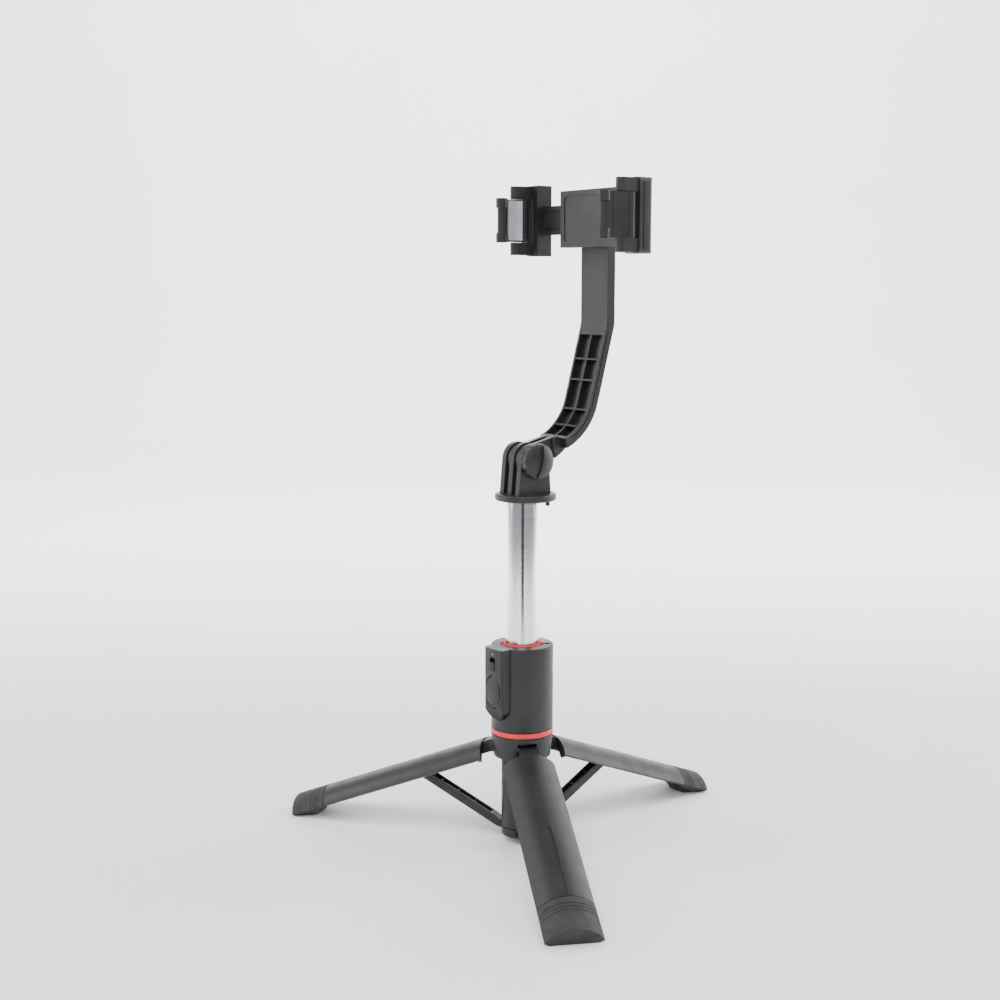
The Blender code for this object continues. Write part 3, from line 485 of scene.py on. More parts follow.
def make_polished_steel():
    """Drawn and polished tube: fine lines along its length and a trace of wear round it."""
    surface = Surface("polished_tube", (0.8, 0.81, 0.83), 0.12, 1.0)
    lines = surface.noise(1.0, 3, surface.stretch(2600, 2600, 26))
    rings = surface.noise(1.0, 4, surface.stretch(30, 30, 900))
    surface.blend(surface.span(lines, 0, 1), (0.74, 0.75, 0.77), (0.86, 0.865, 0.88))
    surface.rough(surface.span(rings, 0.09, 0.19))
    surface.bump(lines, 0.004, 0.35)
    return surface.material


def make_plated_steel():
    surface = Surface("plated_steel_fine", (0.55, 0.55, 0.57), 0.3, 1.0)
    brushed = surface.noise(1.0, 3, surface.stretch(300, 300, 3000))
    surface.blend(surface.span(brushed, 0, 1), (0.46, 0.46, 0.48), (0.62, 0.62, 0.64))
    surface.rough(surface.span(surface.noise(500, 4), 0.22, 0.4))
    surface.bump(brushed, 0.004, 0.4)
    return surface.material


def make_board():
    """Green solder mask with copper lines showing through as low ridges."""
    surface = Surface("solder_mask", (0.02, 0.16, 0.07), 0.35)
    tracks = surface.nodes.new("ShaderNodeTexBrick")
    tracks.inputs["Scale"].default_value = 420.0
    tracks.inputs["Mortar Size"].default_value = 0.05
    surface.links.new(surface.place, tracks.inputs["Vector"])
    surface.blend(tracks.outputs["Fac"], (0.015, 0.13, 0.055), (0.05, 0.26, 0.11))
    surface.rough(surface.span(surface.noise(300, 3), 0.28, 0.42))
    surface.bump(tracks.outputs["Fac"], 0.02, 0.6)
    return surface.material


def make_grey_pad():
    surface = Surface("silicone_pad", (0.3, 0.31, 0.33), 0.65)
    surface.blend(surface.span(surface.noise(140, 4), 0, 1), (0.26, 0.27, 0.29), (0.35, 0.36, 0.38))
    surface.rough(surface.span(surface.noise(600, 4), 0.58, 0.74))
    surface.bump(surface.noise(2200, 3), 0.02, 0.5)
    return surface.material


def make_lens():
    """The remote's light: a small frosted dot."""
    surface = Surface("light_window", (0.5, 0.52, 0.55), 0.25)
    surface.rough(surface.span(surface.noise(900, 2), 0.2, 0.35))
    surface.blend(surface.span(surface.noise(500, 2), 0, 1), (0.42, 0.44, 0.47), (0.56, 0.58, 0.62))
    return surface.material


MATERIALS = {
    "black_plastic": make_black_plastic(),
    "soft_rubber": make_rubber(),
    "red_plastic": make_red_plastic(),
    "polished_steel": make_polished_steel(),
    "plated_steel": make_plated_steel(),
    "circuit_board": make_board(),
    "grey_pad": make_grey_pad(),
}
LENS = make_lens()


def show(solid, node, slot, matrix, edge=0.3, name=None, material=None):
    """Puts a finished solid in the frame, with rounded edges, on its node's body and in that node's place."""
    solid.name = name or f"{node}_fine"
    solid.data.name = solid.name
    solid.data.transform(matrix)
    solid.data.materials.clear()
    solid.data.materials.append(material or MATERIALS[slot])
    solid.data.shade_smooth()
    if edge:
        bevel = solid.modifiers.new("edges", "BEVEL")
        bevel.width = edge * MM
        bevel.segments = 3
        bevel.limit_method = "ANGLE"
        bevel.angle_limit = radians(32)
        bevel.harden_normals = True
        bevel.use_clamp_overlap = True
    else:
        solid.data.set_sharp_from_angle(angle=radians(32))
    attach(solid, BODY_OF[node])
    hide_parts(node)
    return solid


# --- hub --------------------------------------------------------------------------------------------


def round_corner(radius, z, inset, up=True, steps=6):
    """A quarter-round at the outer edge of a turned profile, listed from the top down."""
    centre_z = z - inset if up else z + inset
    start, end = (90, 0) if up else (0, -90)
    return arc(radius - inset, centre_z, inset, start, end, steps)


def make_hub():
    plate = HUB_TOP - TOP_PLATE
    inner = HUB_RADIUS - HUB_WALL
    hole = BUSHING_RADIUS + GAP
    profile = round_corner(HUB_RADIUS, HUB_TOP, 0.7)
    profile += round_corner(HUB_RADIUS, HUB_BOTTOM, 0.25, up=False, steps=3)
    profile += [(inner, HUB_BOTTOM), (inner, plate), (hole, plate)]
    profile += [(hole, HUB_TOP - 0.3), (hole + 0.3, HUB_TOP)]
    shell = turned(profile, SMOOTH)
    peg_azimuth = PEG_AZIMUTH - BASE_YAW
    peg_hole = rod(1.5, plate - 2, HUB_TOP + 2, 32, shift(*around(PEG_RADIUS, peg_azimuth)))
    notch = block((8.0, 17.0), (-8.2, 8.2), (HUB_TOP - 1.2, HUB_TOP + 3), spin(NOTCH_AZIMUTH - 90))
    shell = cut(shell, remote_bay(), peg_hole, notch)
    show(shell, "hub_shell", "black_plastic", BASE, 0.22)

    outer = inner - GAP
    core = cut(ring(outer, BORE_RADIUS, BAND_TOP + 0.6, CORE_TOP), remote_bay())
    show(core, "hub_core", "black_plastic", BASE, 0.25)

    top = HUB_TOP + 0.55
    foot = CORE_TOP + GAP
    profile = round_corner(BUSHING_RADIUS, top, 0.35) + [(BUSHING_RADIUS, foot), (BORE_RADIUS, foot)]
    profile += [(BORE_RADIUS, top - 0.6), (BORE_RADIUS + 0.5, top)]
    bushing = turned(profile)
    ear = [(0, HUB_TOP + 1.2), (0.8, HUB_TOP + 1.1), (1.2, HUB_TOP + 0.7), (1.3, HUB_TOP + GAP)]
    ear.append((0, HUB_TOP + GAP))
    for azimuth in (peg_azimuth, peg_azimuth - 180.0):
        bushing = join(bushing, turned(ear, 32, shift(*around(BUSHING_RADIUS + 0.5, azimuth)), closed=False))
    show(bushing, "top_bushing", "red_plastic", BASE, 0.15)


def make_skirt():
    step = BAND_BOTTOM - GAP
    bore = COLUMN_RADIUS + 0.9
    profile = [(SPIGOT_RADIUS, BAND_TOP), (SPIGOT_RADIUS, step)]
    profile += round_corner(HUB_RADIUS, step, 0.25, steps=3)
    profile += round_corner(SKIRT_RADIUS, SKIRT_BOTTOM, 0.5, up=False)
    profile += [(bore, SKIRT_BOTTOM), (bore, COLUMN_TOP + 2.4)]
    profile += [(BORE_RADIUS, COLUMN_TOP + 3.4), (BORE_RADIUS, BAND_TOP)]
    skirt = turned(profile, SMOOTH)
    width = LUG_HALF_WIDTH + 0.4
    below = SKIRT_BOTTOM - 3.5
    arch = [(-ARCH_FOOT, below), (-ARCH_FOOT, SKIRT_BOTTOM), (-ARCH_CROWN, ARCH_TOP)]
    arch += [(-x, z) for x, z in reversed(arch)]
    reach = HINGE_PIN_HALF + GAP
    for azimuth in LEG_AZIMUTHS:
        turn = spin(azimuth - 90)
        slot = block((9.0, 20.0), (-width, width), (below, ARCH_TOP + 1.7), turn)
        opening = extruded(arch, 13.5, 20.0, spin(azimuth) @ AXLE)
        hinge = turn @ shift(PIVOT_RADIUS, 0, PIVOT_HEIGHT) @ AXLE
        skirt = cut(skirt, slot, opening, rod(HINGE_PIN_RADIUS + GAP, -reach, reach, 24, hinge))
    show(skirt, "leg_carrier", "black_plastic", BASE, 0.2)

    outer = HUB_RADIUS + 0.12
    band = round_corner(outer, BAND_TOP, 0.3, steps=4)
    band += round_corner(outer, BAND_BOTTOM, 0.3, up=False, steps=4)
    band += [(SPIGOT_RADIUS + GAP, BAND_BOTTOM), (SPIGOT_RADIUS + GAP, BAND_TOP)]
    show(turned(band, SMOOTH), "red_band", "red_plastic", BASE, 0)


def pin_solid(radius, half_length, matrix):
    """A pin with chamfered ends, lying along the hinge's axis."""
    tip = half_length - 0.25
    profile = [(0, half_length), (radius - 0.2, half_length), (radius, tip)]
    profile += [(radius, -tip), (radius - 0.2, -half_length), (0, -half_length)]
    return turned(profile, 28, matrix @ AXLE, closed=False)


# --- remote -----------------------------------------------------------------------------------------


def remote_layer(inset, back, front, top=HUB_TOP):
    """A slab in the remote's outline, drawn in by an inset, between two distances in front of the axis."""
    return extruded(tombstone(REMOTE_HALF_WIDTH - inset, REMOTE_TURN_Z, top), back, front, AXLE)


def remote_bay():
    """What the hub leaves free for the remote, open at the front and at the top."""
    return remote_layer(-GAP, REMOTE_BACK - GAP, 25.0, HUB_TOP + 2)


def chin_cutter(front):
    """What is taken off below the button, where the remote's front curves back into the hub."""
    swing = 34.0
    line = arc(-front + CHIN_RADIUS, CHIN_TOP, CHIN_RADIUS, 180, 180 + swing, 16)
    return side_plate(line + [(-front - 3, line[-1][1]), (-front - 3, CHIN_TOP)], -12, 12)


def remote_plan():
    """The remote's outline from above: a slightly bowed front with rounded corners."""
    half = REMOTE_HALF_WIDTH
    corner = 1.9
    bow = 34.0
    reach = degrees(atan2(half - corner, bow))
    plan = arc(0, bow - REMOTE_FRONT, bow, 270 - reach, 270 + reach, 12)
    plan += arc(half - corner, corner + 0.25 - REMOTE_FRONT, corner, -78, 0, 10)
    plan += [(half, 4 - REMOTE_SPLIT), (-half, 4 - REMOTE_SPLIT)]
    return plan + arc(corner - half, corner + 0.25 - REMOTE_FRONT, corner, 180, 258, 10)


def make_remote():
    front = remote_layer(0.0, REMOTE_SPLIT, REMOTE_FRONT + 1)
    front = combine(front, [extruded(remote_plan(), 60.0, HUB_TOP + 1)], "INTERSECT")
    inside = remote_layer(1.4, REMOTE_SPLIT - 1, 15.6, HUB_TOP - 1.5)
    dish = extruded(oval(5.3, 8.3, BUTTON_Z), 15, 22, AXLE)
    slot = extruded(rounded(-1.95, 1.95, SWITCH_Z - 3.2, SWITCH_Z + 3.2, 0.9), 15, 22, AXLE)
    light = shift(0, 0, SWITCH_Z + 4.8) @ AXLE
    front = cut(front, chin_cutter(REMOTE_FRONT), inside, dish, slot, rod(0.5, 17, 22, 24, light))
    show(front, "remote_front_shell", "black_plastic", BASE, 0.2)
    lens = rod(0.45, 16.6, REMOTE_FRONT - 0.2, 24, light)
    show(lens, "remote_front_shell", "black_plastic", BASE, 0, "remote_light", LENS)

    back = remote_layer(0.0, REMOTE_BACK, REMOTE_SPLIT - 0.15)
    tray = remote_layer(1.2, REMOTE_BACK + 0.9, REMOTE_SPLIT + 1, HUB_TOP - 1.2)
    show(cut(back, tray), "remote_back_shell", "black_plastic", BASE, 0.25)

    face = REMOTE_FRONT + 0.35
    button = extruded(oval(4.95, 7.95, BUTTON_Z), 16.9, face + 1, AXLE)
    crown = [(0, 0.0)] + arc(0, -30.0, 30.0, 89, 73.5, 12) + [(8.5, -3.5), (0, -3.5)]
    dome = turned(crown, 96, shift(0, -face, BUTTON_Z) @ AXLE, closed=False)
    button = cut(combine(button, [dome], "INTERSECT"), chin_cutter(face))
    show(button, "shutter_button", "black_plastic", BASE, 0.3)

    slider = extruded(rounded(-1.7, 1.7, SWITCH_Z - 2.9, SWITCH_Z + 0.9, 0.6), 15.4, 19.2, AXLE)
    for step in range(3):
        z = SWITCH_Z - 2.1 + 1.1 * step
        slider = cut(slider, block((-3, 3), (-21, -18.95), (z - 0.2, z + 0.2)))
    show(slider, "power_switch", "black_plastic", BASE, 0.12)


# --- legs and struts --------------------------------------------------------------------------------


def make_leg(number, azimuth):
    place = leg_place(azimuth)
    outer = HUB_RADIUS
    inner = outer - LEG_WALL
    centre = -PIVOT_RADIUS
    shell = extruded(sector(inner, outer, LEG_HALF_ARC, 40, cx=centre), -PAD_START + GAP, -LEG_START)
    tongue_outline = sector(inner, outer - 0.7, LEG_HALF_ARC - 5, 24, cx=centre)
    tongue = extruded(tongue_outline, -PAD_START - TONGUE, -PAD_START + 1)
    web_outline = sector(outer - 4.6, inner + 0.4, LEG_HALF_ARC - 2, 40, cx=centre)
    web = extruded(web_outline, -LEG_START - 3.0, -LEG_START - 1.4)
    root = -LEG_START - 2.0
    side = arc(0, 0, 1.7, 0, 180, 18) + [(-3.6, -4.0), (-3.6, root), (2.3, root), (2.3, -2.8)]
    lug = extruded(side, -LUG_HALF_WIDTH, LUG_HALF_WIDTH, AXLE)
    shell = join(shell, tongue, web, lug)
    ear_side = arc(STRUT_TOP_X, -STRUT_TOP_DROP, 2.2, 100, 260, 14)
    ear_side += [(1.9, -STRUT_TOP_DROP - 3.0), (1.9, -STRUT_TOP_DROP + 3.0)]
    for y in (STRUT_HALF_WIDTH + GAP, -STRUT_HALF_WIDTH - GAP - EAR):
        shell = join(shell, extruded(ear_side, -y - EAR, -y, AXLE))
    rib_outline = sector(inner - 1.3, inner + 0.3, LEG_HALF_ARC - 14, 24, cx=centre)
    for drop in (30.0, 66.0, 84.0):
        shell = join(shell, extruded(rib_outline, -drop - 0.4, -drop + 0.4))
    channel = rounded(-LEG_START - 91.5, -LEG_START - 50.0, -0.7, 0.7, 0.69, 8)
    groove_floor = outer - 0.35 + centre
    groove_outline = [(y, z) for z, y in channel]
    groove = extruded(groove_outline, groove_floor, outer + 2 + centre, CROSS_X @ spin(90))
    pins = (
        rod(HINGE_PIN_RADIUS + GAP, -6, 6, 24, AXLE),
        rod(STRUT_PIN_RADIUS + GAP, -6, 6, 24, shift(STRUT_TOP_X, 0, -STRUT_TOP_DROP) @ AXLE),
    )
    shell = cut(shell, groove, *pins)
    show(shell, f"leg_{number}_shell", "black_plastic", place, 0.28)
    pin = pin_solid(STRUT_PIN_RADIUS, 4.1, shift(STRUT_TOP_X, 0, -STRUT_TOP_DROP))
    show(pin, f"leg_{number}_strut_pin", "plated_steel", place, 0)
    hinge = pin_solid(HINGE_PIN_RADIUS, HINGE_PIN_HALF, shift(PIVOT_RADIUS, 0, PIVOT_HEIGHT))
    show(hinge, f"leg_{number}_hinge_pin", "plated_steel", leg_plane(azimuth), 0)


def make_foot_pad(number, azimuth):
    centre = -PIVOT_RADIUS
    outer = HUB_RADIUS + 0.1
    inner = HUB_RADIUS - LEG_WALL
    sleeve = extruded(sector(11.0, outer, LEG_HALF_ARC, 40, cx=centre), -LEG_END, -PAD_START)
    wedge = extruded(sector(1.8, 11.6, LEG_HALF_ARC, 24, cx=centre), -LEG_END, -WEDGE_START)
    pad = join(sleeve, wedge)
    slot_outline = sector(inner - GAP, outer - 0.5, LEG_HALF_ARC - 3.5, 24, cx=centre)
    slot = extruded(slot_outline, -PAD_START - TONGUE - 0.4, -PAD_START + 1)
    floor = block((60, 170), (-30, 30), (-40, 0), spin(OPEN_ANGLE, "Y") @ shift(0, 0, -PIVOT_HEIGHT))
    pad = cut(pad, slot, floor)
    grip_outline = sector(outer - 0.3, outer + 1, LEG_HALF_ARC + 4, 40, cx=centre)
    for step in range(3):
        drop = 103.0 + 1.9 * step
        pad = cut(pad, extruded(grip_outline, -drop - 0.45, -drop))
    show(pad, f"leg_{number}_foot_pad", "soft_rubber", leg_place(azimuth), 0.25)


def make_strut(number, azimuth):
    half = STRUT_HALF_WIDTH
    foot = -STRUT_LENGTH
    side = arc(0, 0, 1.7, 0, 180, 18) + [(-1.7, -1.2), (-STRUT_INNER, -3.6), (-STRUT_INNER, foot + 7.2)]
    side += arc(0, foot, 1.3, 180, 360, 18) + [(STRUT_OUTER, foot + 4.0), (STRUT_OUTER, -1.8)]
    strut = extruded(side, -half, half, AXLE)
    channel = block((-4, 0.7), (-half + 0.95, half - 0.95), (foot + 9.5, -5.2))
    top_hole = rod(STRUT_PIN_RADIUS + GAP, -4, 4, 24, AXLE)
    foot_hole = rod(LOWER_PIN_RADIUS + 0.1, -4, 4, 24, shift(0, 0, foot) @ AXLE)
    strut = cut(strut, channel, top_hole, foot_hole)
    for step in range(1, 4):
        z = -5.2 + step * (foot + 14.7) / 4
        strut = join(strut, block((-STRUT_INNER + 0.5, 1.0), (-half + 0.5, half - 0.5), (z - 0.4, z + 0.4)))
    place = strut_place(azimuth)
    show(strut, f"strut_{number}", "black_plastic", place, 0.25)
    pin = pin_solid(LOWER_PIN_RADIUS, 3.5, shift(0, 0, foot))
    show(pin, f"strut_{number}_lower_pin", "plated_steel", place, 0)


# --- column and pole --------------------------------------------------------------------------------


def make_column():
    foot = COLUMN_SEAM + GAP
    profile = [(0, COLUMN_TOP)] + round_corner(COLUMN_RADIUS, COLUMN_TOP, 0.5)
    profile += round_corner(COLUMN_RADIUS, foot, 0.2, up=False, steps=3) + [(0, foot)]
    column = turned(profile, ROUND, closed=False)
    profile = [(0, COLUMN_SEAM)] + round_corner(COLUMN_RADIUS, COLUMN_SEAM, 0.2, steps=3)
    profile += round_corner(COLUMN_RADIUS, COLUMN_BOTTOM, 0.8, up=False) + [(0, COLUMN_BOTTOM)]
    cap = turned(profile, ROUND, closed=False)
    column = cut(column, rod(TUBE_RADIUS + GAP, TUBE_BOTTOM - GAP, COLUMN_TOP + 1, ROUND))
    depth = (SLOT_DEPTH_RADIUS, COLUMN_RADIUS + 2)
    width = (-SLOT_HALF_WIDTH, SLOT_HALF_WIDTH)
    hole = LOWER_PIN_RADIUS + GAP
    run = (STRUT_FOOT_RADIUS - hole, STRUT_FOOT_RADIUS + hole + 0.9)
    rise = (STRUT_FOOT_HEIGHT - hole, STRUT_FOOT_HEIGHT + hole)
    for azimuth in LEG_AZIMUTHS:
        turn = spin(azimuth - 90)
        column = cut(column, block(depth, width, (SLOT_FLOOR, COLUMN_TOP + 1), turn))
        cap = cut(cap, block(depth, width, (SLOT_FLOOR, COLUMN_SEAM + 1), turn))
        cap = cut(cap, block(run, (-4.4, 4.4), rise, turn))
    show(column, "column", "black_plastic", BASE, 0.25)
    show(cap, "column_end_cap", "black_plastic", BASE, 0.2)


def make_tube(number):
    """A drawn tube with a rolled lip at its top."""
    outer = TUBE_RADIUS - TUBE_STEP * (number - 1)
    inner = outer - TUBE_WALL
    bottom = TUBE_BOTTOM + 2.0 * (number - 1)
    profile = round_corner(outer, TUBE_TOP, 0.2, steps=4)
    profile += [(outer, bottom), (inner, bottom), (inner, TUBE_TOP)]
    show(turned(profile, SMOOTH), f"pole_tube_{number}", "polished_steel", BASE, 0)


# --- head -------------------------------------------------------------------------------------------


def make_head():
    profile = [(0, FLANGE_TOP)] + round_corner(FLANGE_RADIUS, FLANGE_TOP, 0.9, steps=8)
    profile += round_corner(FLANGE_RADIUS, FLANGE_BOTTOM, 0.9, up=False, steps=8) + [(0, FLANGE_BOTTOM)]
    head = turned(profile, SMOOTH, shift(0, FLANGE_SHIFT, 0), closed=False)
    base = FLANGE_TOP - 1.0
    finger_side = arc(HINGE_Y, HINGE_Z, FINGER_RADIUS, 0, 180, 36) + [(FOOT_FRONT, base), (FOOT_BACK, base)]
    for middle in (-FINGER_PITCH, 0.0, FINGER_PITCH):
        head = join(head, side_plate(finger_side, middle - FINGER / 2, middle + FINGER / 2))
    peg = [(0, FLANGE_BOTTOM + 1), (1.1, FLANGE_BOTTOM + 1)]
    peg += round_corner(1.1, 166.0, 0.5, up=False, steps=4) + [(0, 166.0)]
    head = join(head, turned(peg, 32, shift(*around(PEG_RADIUS, PEG_AZIMUTH)), closed=False))
    bore = rod(BOLT_RADIUS + GAP, -12, 12, FINE, shift(0, HINGE_Y, HINGE_Z) @ CROSS_X)
    head = cut(head, bore, rod(2.2, 165, FLANGE_BOTTOM + 1.6, 32))
    show(head, "head_base", "black_plastic", HEAD, 0.3)

    stem = join(rod(2.85, 150.0, TUBE_TOP - 1.5), rod(1.9, 151.0, FLANGE_BOTTOM + 1.3))
    show(stem, "head_stem", "plated_steel", HEAD, 0.2)
    bolt_hole = BOLT_RADIUS + GAP
    boss = [(0, 3.2)] + arc(0, -3.4, 6.6, 80, 31, 10)
    boss += [(5.6, 0.0), (bolt_hole, 0.0), (bolt_hole, 2.0), (0, 2.0)]
    left = -(FINGER_PITCH + FINGER / 2 + GAP)
    nut = turned(boss, 64, shift(left, 0, 0) @ spin(-90, "Y"), closed=False)
    show(nut, "hinge_nut", "black_plastic", HINGE, 0.15)


def make_knob():
    """A round knob with a softly fluted rim, a domed face and a raised bar across it."""
    flutes = 18
    rim = []
    for i in range(flutes * 10):
        angle = 2 * pi * i / (flutes * 10)
        radius = KNOB_RADIUS - 0.22 + 0.22 * cos(flutes * angle)
        rim.append((radius * cos(angle), radius * sin(angle)))
    body = extruded(rim, KNOB_IN, KNOB_OUT)
    form = [(0, KNOB_OUT - 1.3)] + arc(0, KNOB_OUT - 19.3, 18.0, 86, 66, 10)
    form += [(8.2, KNOB_OUT - 3.4), (8.6, KNOB_OUT - 4.4), (8.8, KNOB_IN + 0.5), (8.3, KNOB_IN)]
    form.append((0, KNOB_IN))
    body = combine(body, [turned(form, 96, closed=False)], "INTERSECT")
    bar = [(8.0, KNOB_OUT - 4)] + arc(0, KNOB_OUT - 16.0, 16.0, 61, 119, 24) + [(-8.0, KNOB_OUT - 4)]
    knob = join(body, extruded(bar, -0.5, 0.5, AXLE))
    knob = cut(knob, rod(BOLT_RADIUS + GAP, KNOB_IN - 1, KNOB_OUT - 2.3, 32))
    show(knob, "clamp_knob", "black_plastic", HINGE @ spin(KNOB_TILT, "X") @ CROSS_X, 0.2)
    show(rod(BOLT_RADIUS, -9.6, KNOB_OUT - 2.6, FINE, CROSS_X), "hinge_bolt", "plated_steel", HINGE, 0.2)


# --- arm --------------------------------------------------------------------------------------------


def arm_side(face, foot_angle):
    """A line along the arm as (y, z), behind its front face: an arc, a lean and an upright end."""
    lean = radians(ARM_LEAN)
    line = arc(ARC_Y, ARC_Z, ARC_INNER + face, foot_angle, -ARM_LEAN, 32)
    start_y, start_z = line[-1]
    end_y = ARM_FACE_Y + face
    bend_z = start_z + (end_y - start_y) / sin(lean) * cos(lean)
    soft = 1.2
    bend = [(end_y - soft * sin(lean), bend_z - soft * cos(lean)), (end_y, bend_z + soft)]
    return line + bend + [(end_y, CLAMP_Z)]


def arm_layer(near, far, low, high, foot_angle):
    """A layer of the arm between two depths behind its front face, and between two widths."""
    return side_plate(arm_side(near, foot_angle) + arm_side(far, foot_angle)[::-1], low, high)


def make_arm_pockets(lean_start_z):
    """The cavities in the arm's front, with a rib up the middle and ribs across."""
    width = ARM_HALF_WIDTH - ARM_WALL
    pockets = arm_layer(-1.0, ARM_THICK - 1.5, -width, width, ARM_FRONT_FOOT + POCKET_FOOT)
    ribs = [block((-0.5, 0.5), (0, 60), (180, 300))]
    for angle in (-46.0, -25.5):
        y, z = arc(ARC_Y, ARC_Z, ARC_INNER + 1.5, angle, angle, 1)[0]
        ribs.append(block((-12, 12), (-6, 6), (-0.45, 0.45), shift(0, y, z) @ spin(angle, "X")))
    for step in (9.0, 19.0):
        ribs.append(block((-12, 12), (20, 60), (lean_start_z + step, lean_start_z + step + 0.9)))
    return cut(pockets, *ribs, block((-12, 12), (20, 60), (lean_start_z + POCKET_TOP, 330.0)))


def make_arm():
    width = ARM_HALF_WIDTH
    strip = side_plate(
        arm_side(0.0, ARM_FRONT_FOOT) + arm_side(ARM_THICK, ARM_BACK_FOOT)[::-1], -width, width
    )
    disc = rod(DISC_RADIUS, ARM_FACE_Y, ARM_FACE_Y + ARM_THICK, ROUND, shift(0, 0, CLAMP_Z) @ BACKWARD)
    # The arc's last point comes before the two points of the bend and the end.
    lean_start_z = arm_side(0.0, ARM_FRONT_FOOT)[-4][1]
    arm = cut(join(strip, disc), make_arm_pockets(lean_start_z))
    above = lean_start_z + POCKET_TOP + 2.0
    for low, high in ((-width - 1, 0.45 - width), (width - 0.45, width + 1)):
        groove = arm_layer(1.35, 1.85, low, high, ARM_FRONT_FOOT + 9)
        arm = cut(arm, cut(groove, block((-14, 14), (20, 60), (above, 330.0))))
    neck_back = [(16.0, 198.6), (20.0, 197.4), (22.5, 193.4), (19.0, 190.4)]
    neck = [(HINGE_Y - 1, HINGE_Z + 6.9), *neck_back, (HINGE_Y + 6.0, HINGE_Z - 3.6)]
    arm = join(arm, side_plate([(13.4, 197.0), *neck_back, (15.4, 188.2)], -5.4, 5.4))
    half = (FINGER_PITCH - FINGER) / 2 - GAP
    for middle in (-FINGER_PITCH / 2, FINGER_PITCH / 2):
        eye = rod(EYE_RADIUS, middle - half, middle + half, 72, shift(0, HINGE_Y, HINGE_Z) @ CROSS_X)
        arm = join(arm, join(eye, side_plate(neck, middle - half, middle + half)))
    bore = rod(BOLT_RADIUS + GAP, -12, 12, FINE, shift(0, HINGE_Y, HINGE_Z) @ CROSS_X)
    screw_hole = rod(1.8, 30, 60, FINE, shift(0, 0, CLAMP_Z) @ BACKWARD)
    show(cut(arm, bore, screw_hole), "arm", "black_plastic", HEAD, 0.3)


def make_pivot():
    washer_face = ARM_FACE_Y + ARM_THICK + GAP
    washer = ring(3.6, 1.8, washer_face, washer_face + 0.6, 64)
    show(washer, "pivot_washer", "plated_steel", HOLDER @ BACKWARD, 0.12)
    head = washer_face + 0.6 + GAP
    tip = ARM_FACE_Y - 1.4
    profile = [(0, head + 1.5)] + arc(0, head - 3.6, 5.1, 88, 52, 10)
    profile += [(3.2, head), (1.5, head), (1.5, tip), (0, tip)]
    screw = turned(profile, 64, closed=False)
    for turn in (0, 90):
        screw = cut(screw, block((-0.35, 0.35), (-1.6, 1.6), (head + 0.6, head + 3), spin(turn)))
    show(screw, "pivot_screw", "plated_steel", HOLDER @ BACKWARD, 0.1)


# --- phone clamp ------------------------------------------------------------------------------------


def end_block(side):
    """The clamp's tall end with two ears, with ridges down its front and rounded back edges."""
    curve = 3.4
    front = BLOCK_FRONT
    corners = [(BLOCK_IN, front), (36.6, front), (37.0, front + 0.5), (37.6, front + 0.5), (38.0, front)]
    corners += [(BLOCK_OUT, front)] + arc(BLOCK_OUT - curve, BODY_BACK - curve, curve, 0, 90, 12)
    corners.append((BLOCK_IN, BODY_BACK))
    body = extruded([(side * x, y) for x, y in corners], -BLOCK_HALF_HEIGHT, BLOCK_HALF_HEIGHT)
    front_view = rounded(BLOCK_IN - 4, BLOCK_OUT, -BLOCK_HALF_HEIGHT, BLOCK_HALF_HEIGHT, 2.0, 10)
    window = extruded([(side * x, z) for x, z in front_view], -60, 0, AXLE)
    body = combine(body, [window], "INTERSECT")
    half = 2.6
    ear_outline = arc(JAW_PIN_X, EAR_FRONT + half, half, 180, 360, 20)
    ear_outline += [(JAW_PIN_X + half, front + 1.4), (JAW_PIN_X - half, front + 1.4)]
    ear_outline = [(side * x, y) for x, y in ear_outline]
    low = JAW_HALF_HEIGHT + GAP
    high = BLOCK_HALF_HEIGHT - 0.5
    for heights in ((-high, -low), (low, high)):
        body = join(body, extruded(ear_outline, *heights))
    line = BLOCK_OUT - 0.35
    groove = sorted((side * line, side * (BLOCK_OUT + 1)))
    body = cut(body, block(groove, (35.6, 36.2), (-BLOCK_HALF_HEIGHT + 2.4, BLOCK_HALF_HEIGHT - 2.4)))
    depth = BLOCK_HALF_HEIGHT - 1.8
    return cut(body, rod(JAW_PIN_RADIUS + GAP, -depth, depth, 32, shift(side * JAW_PIN_X, JAW_PIN_Y, 0)))


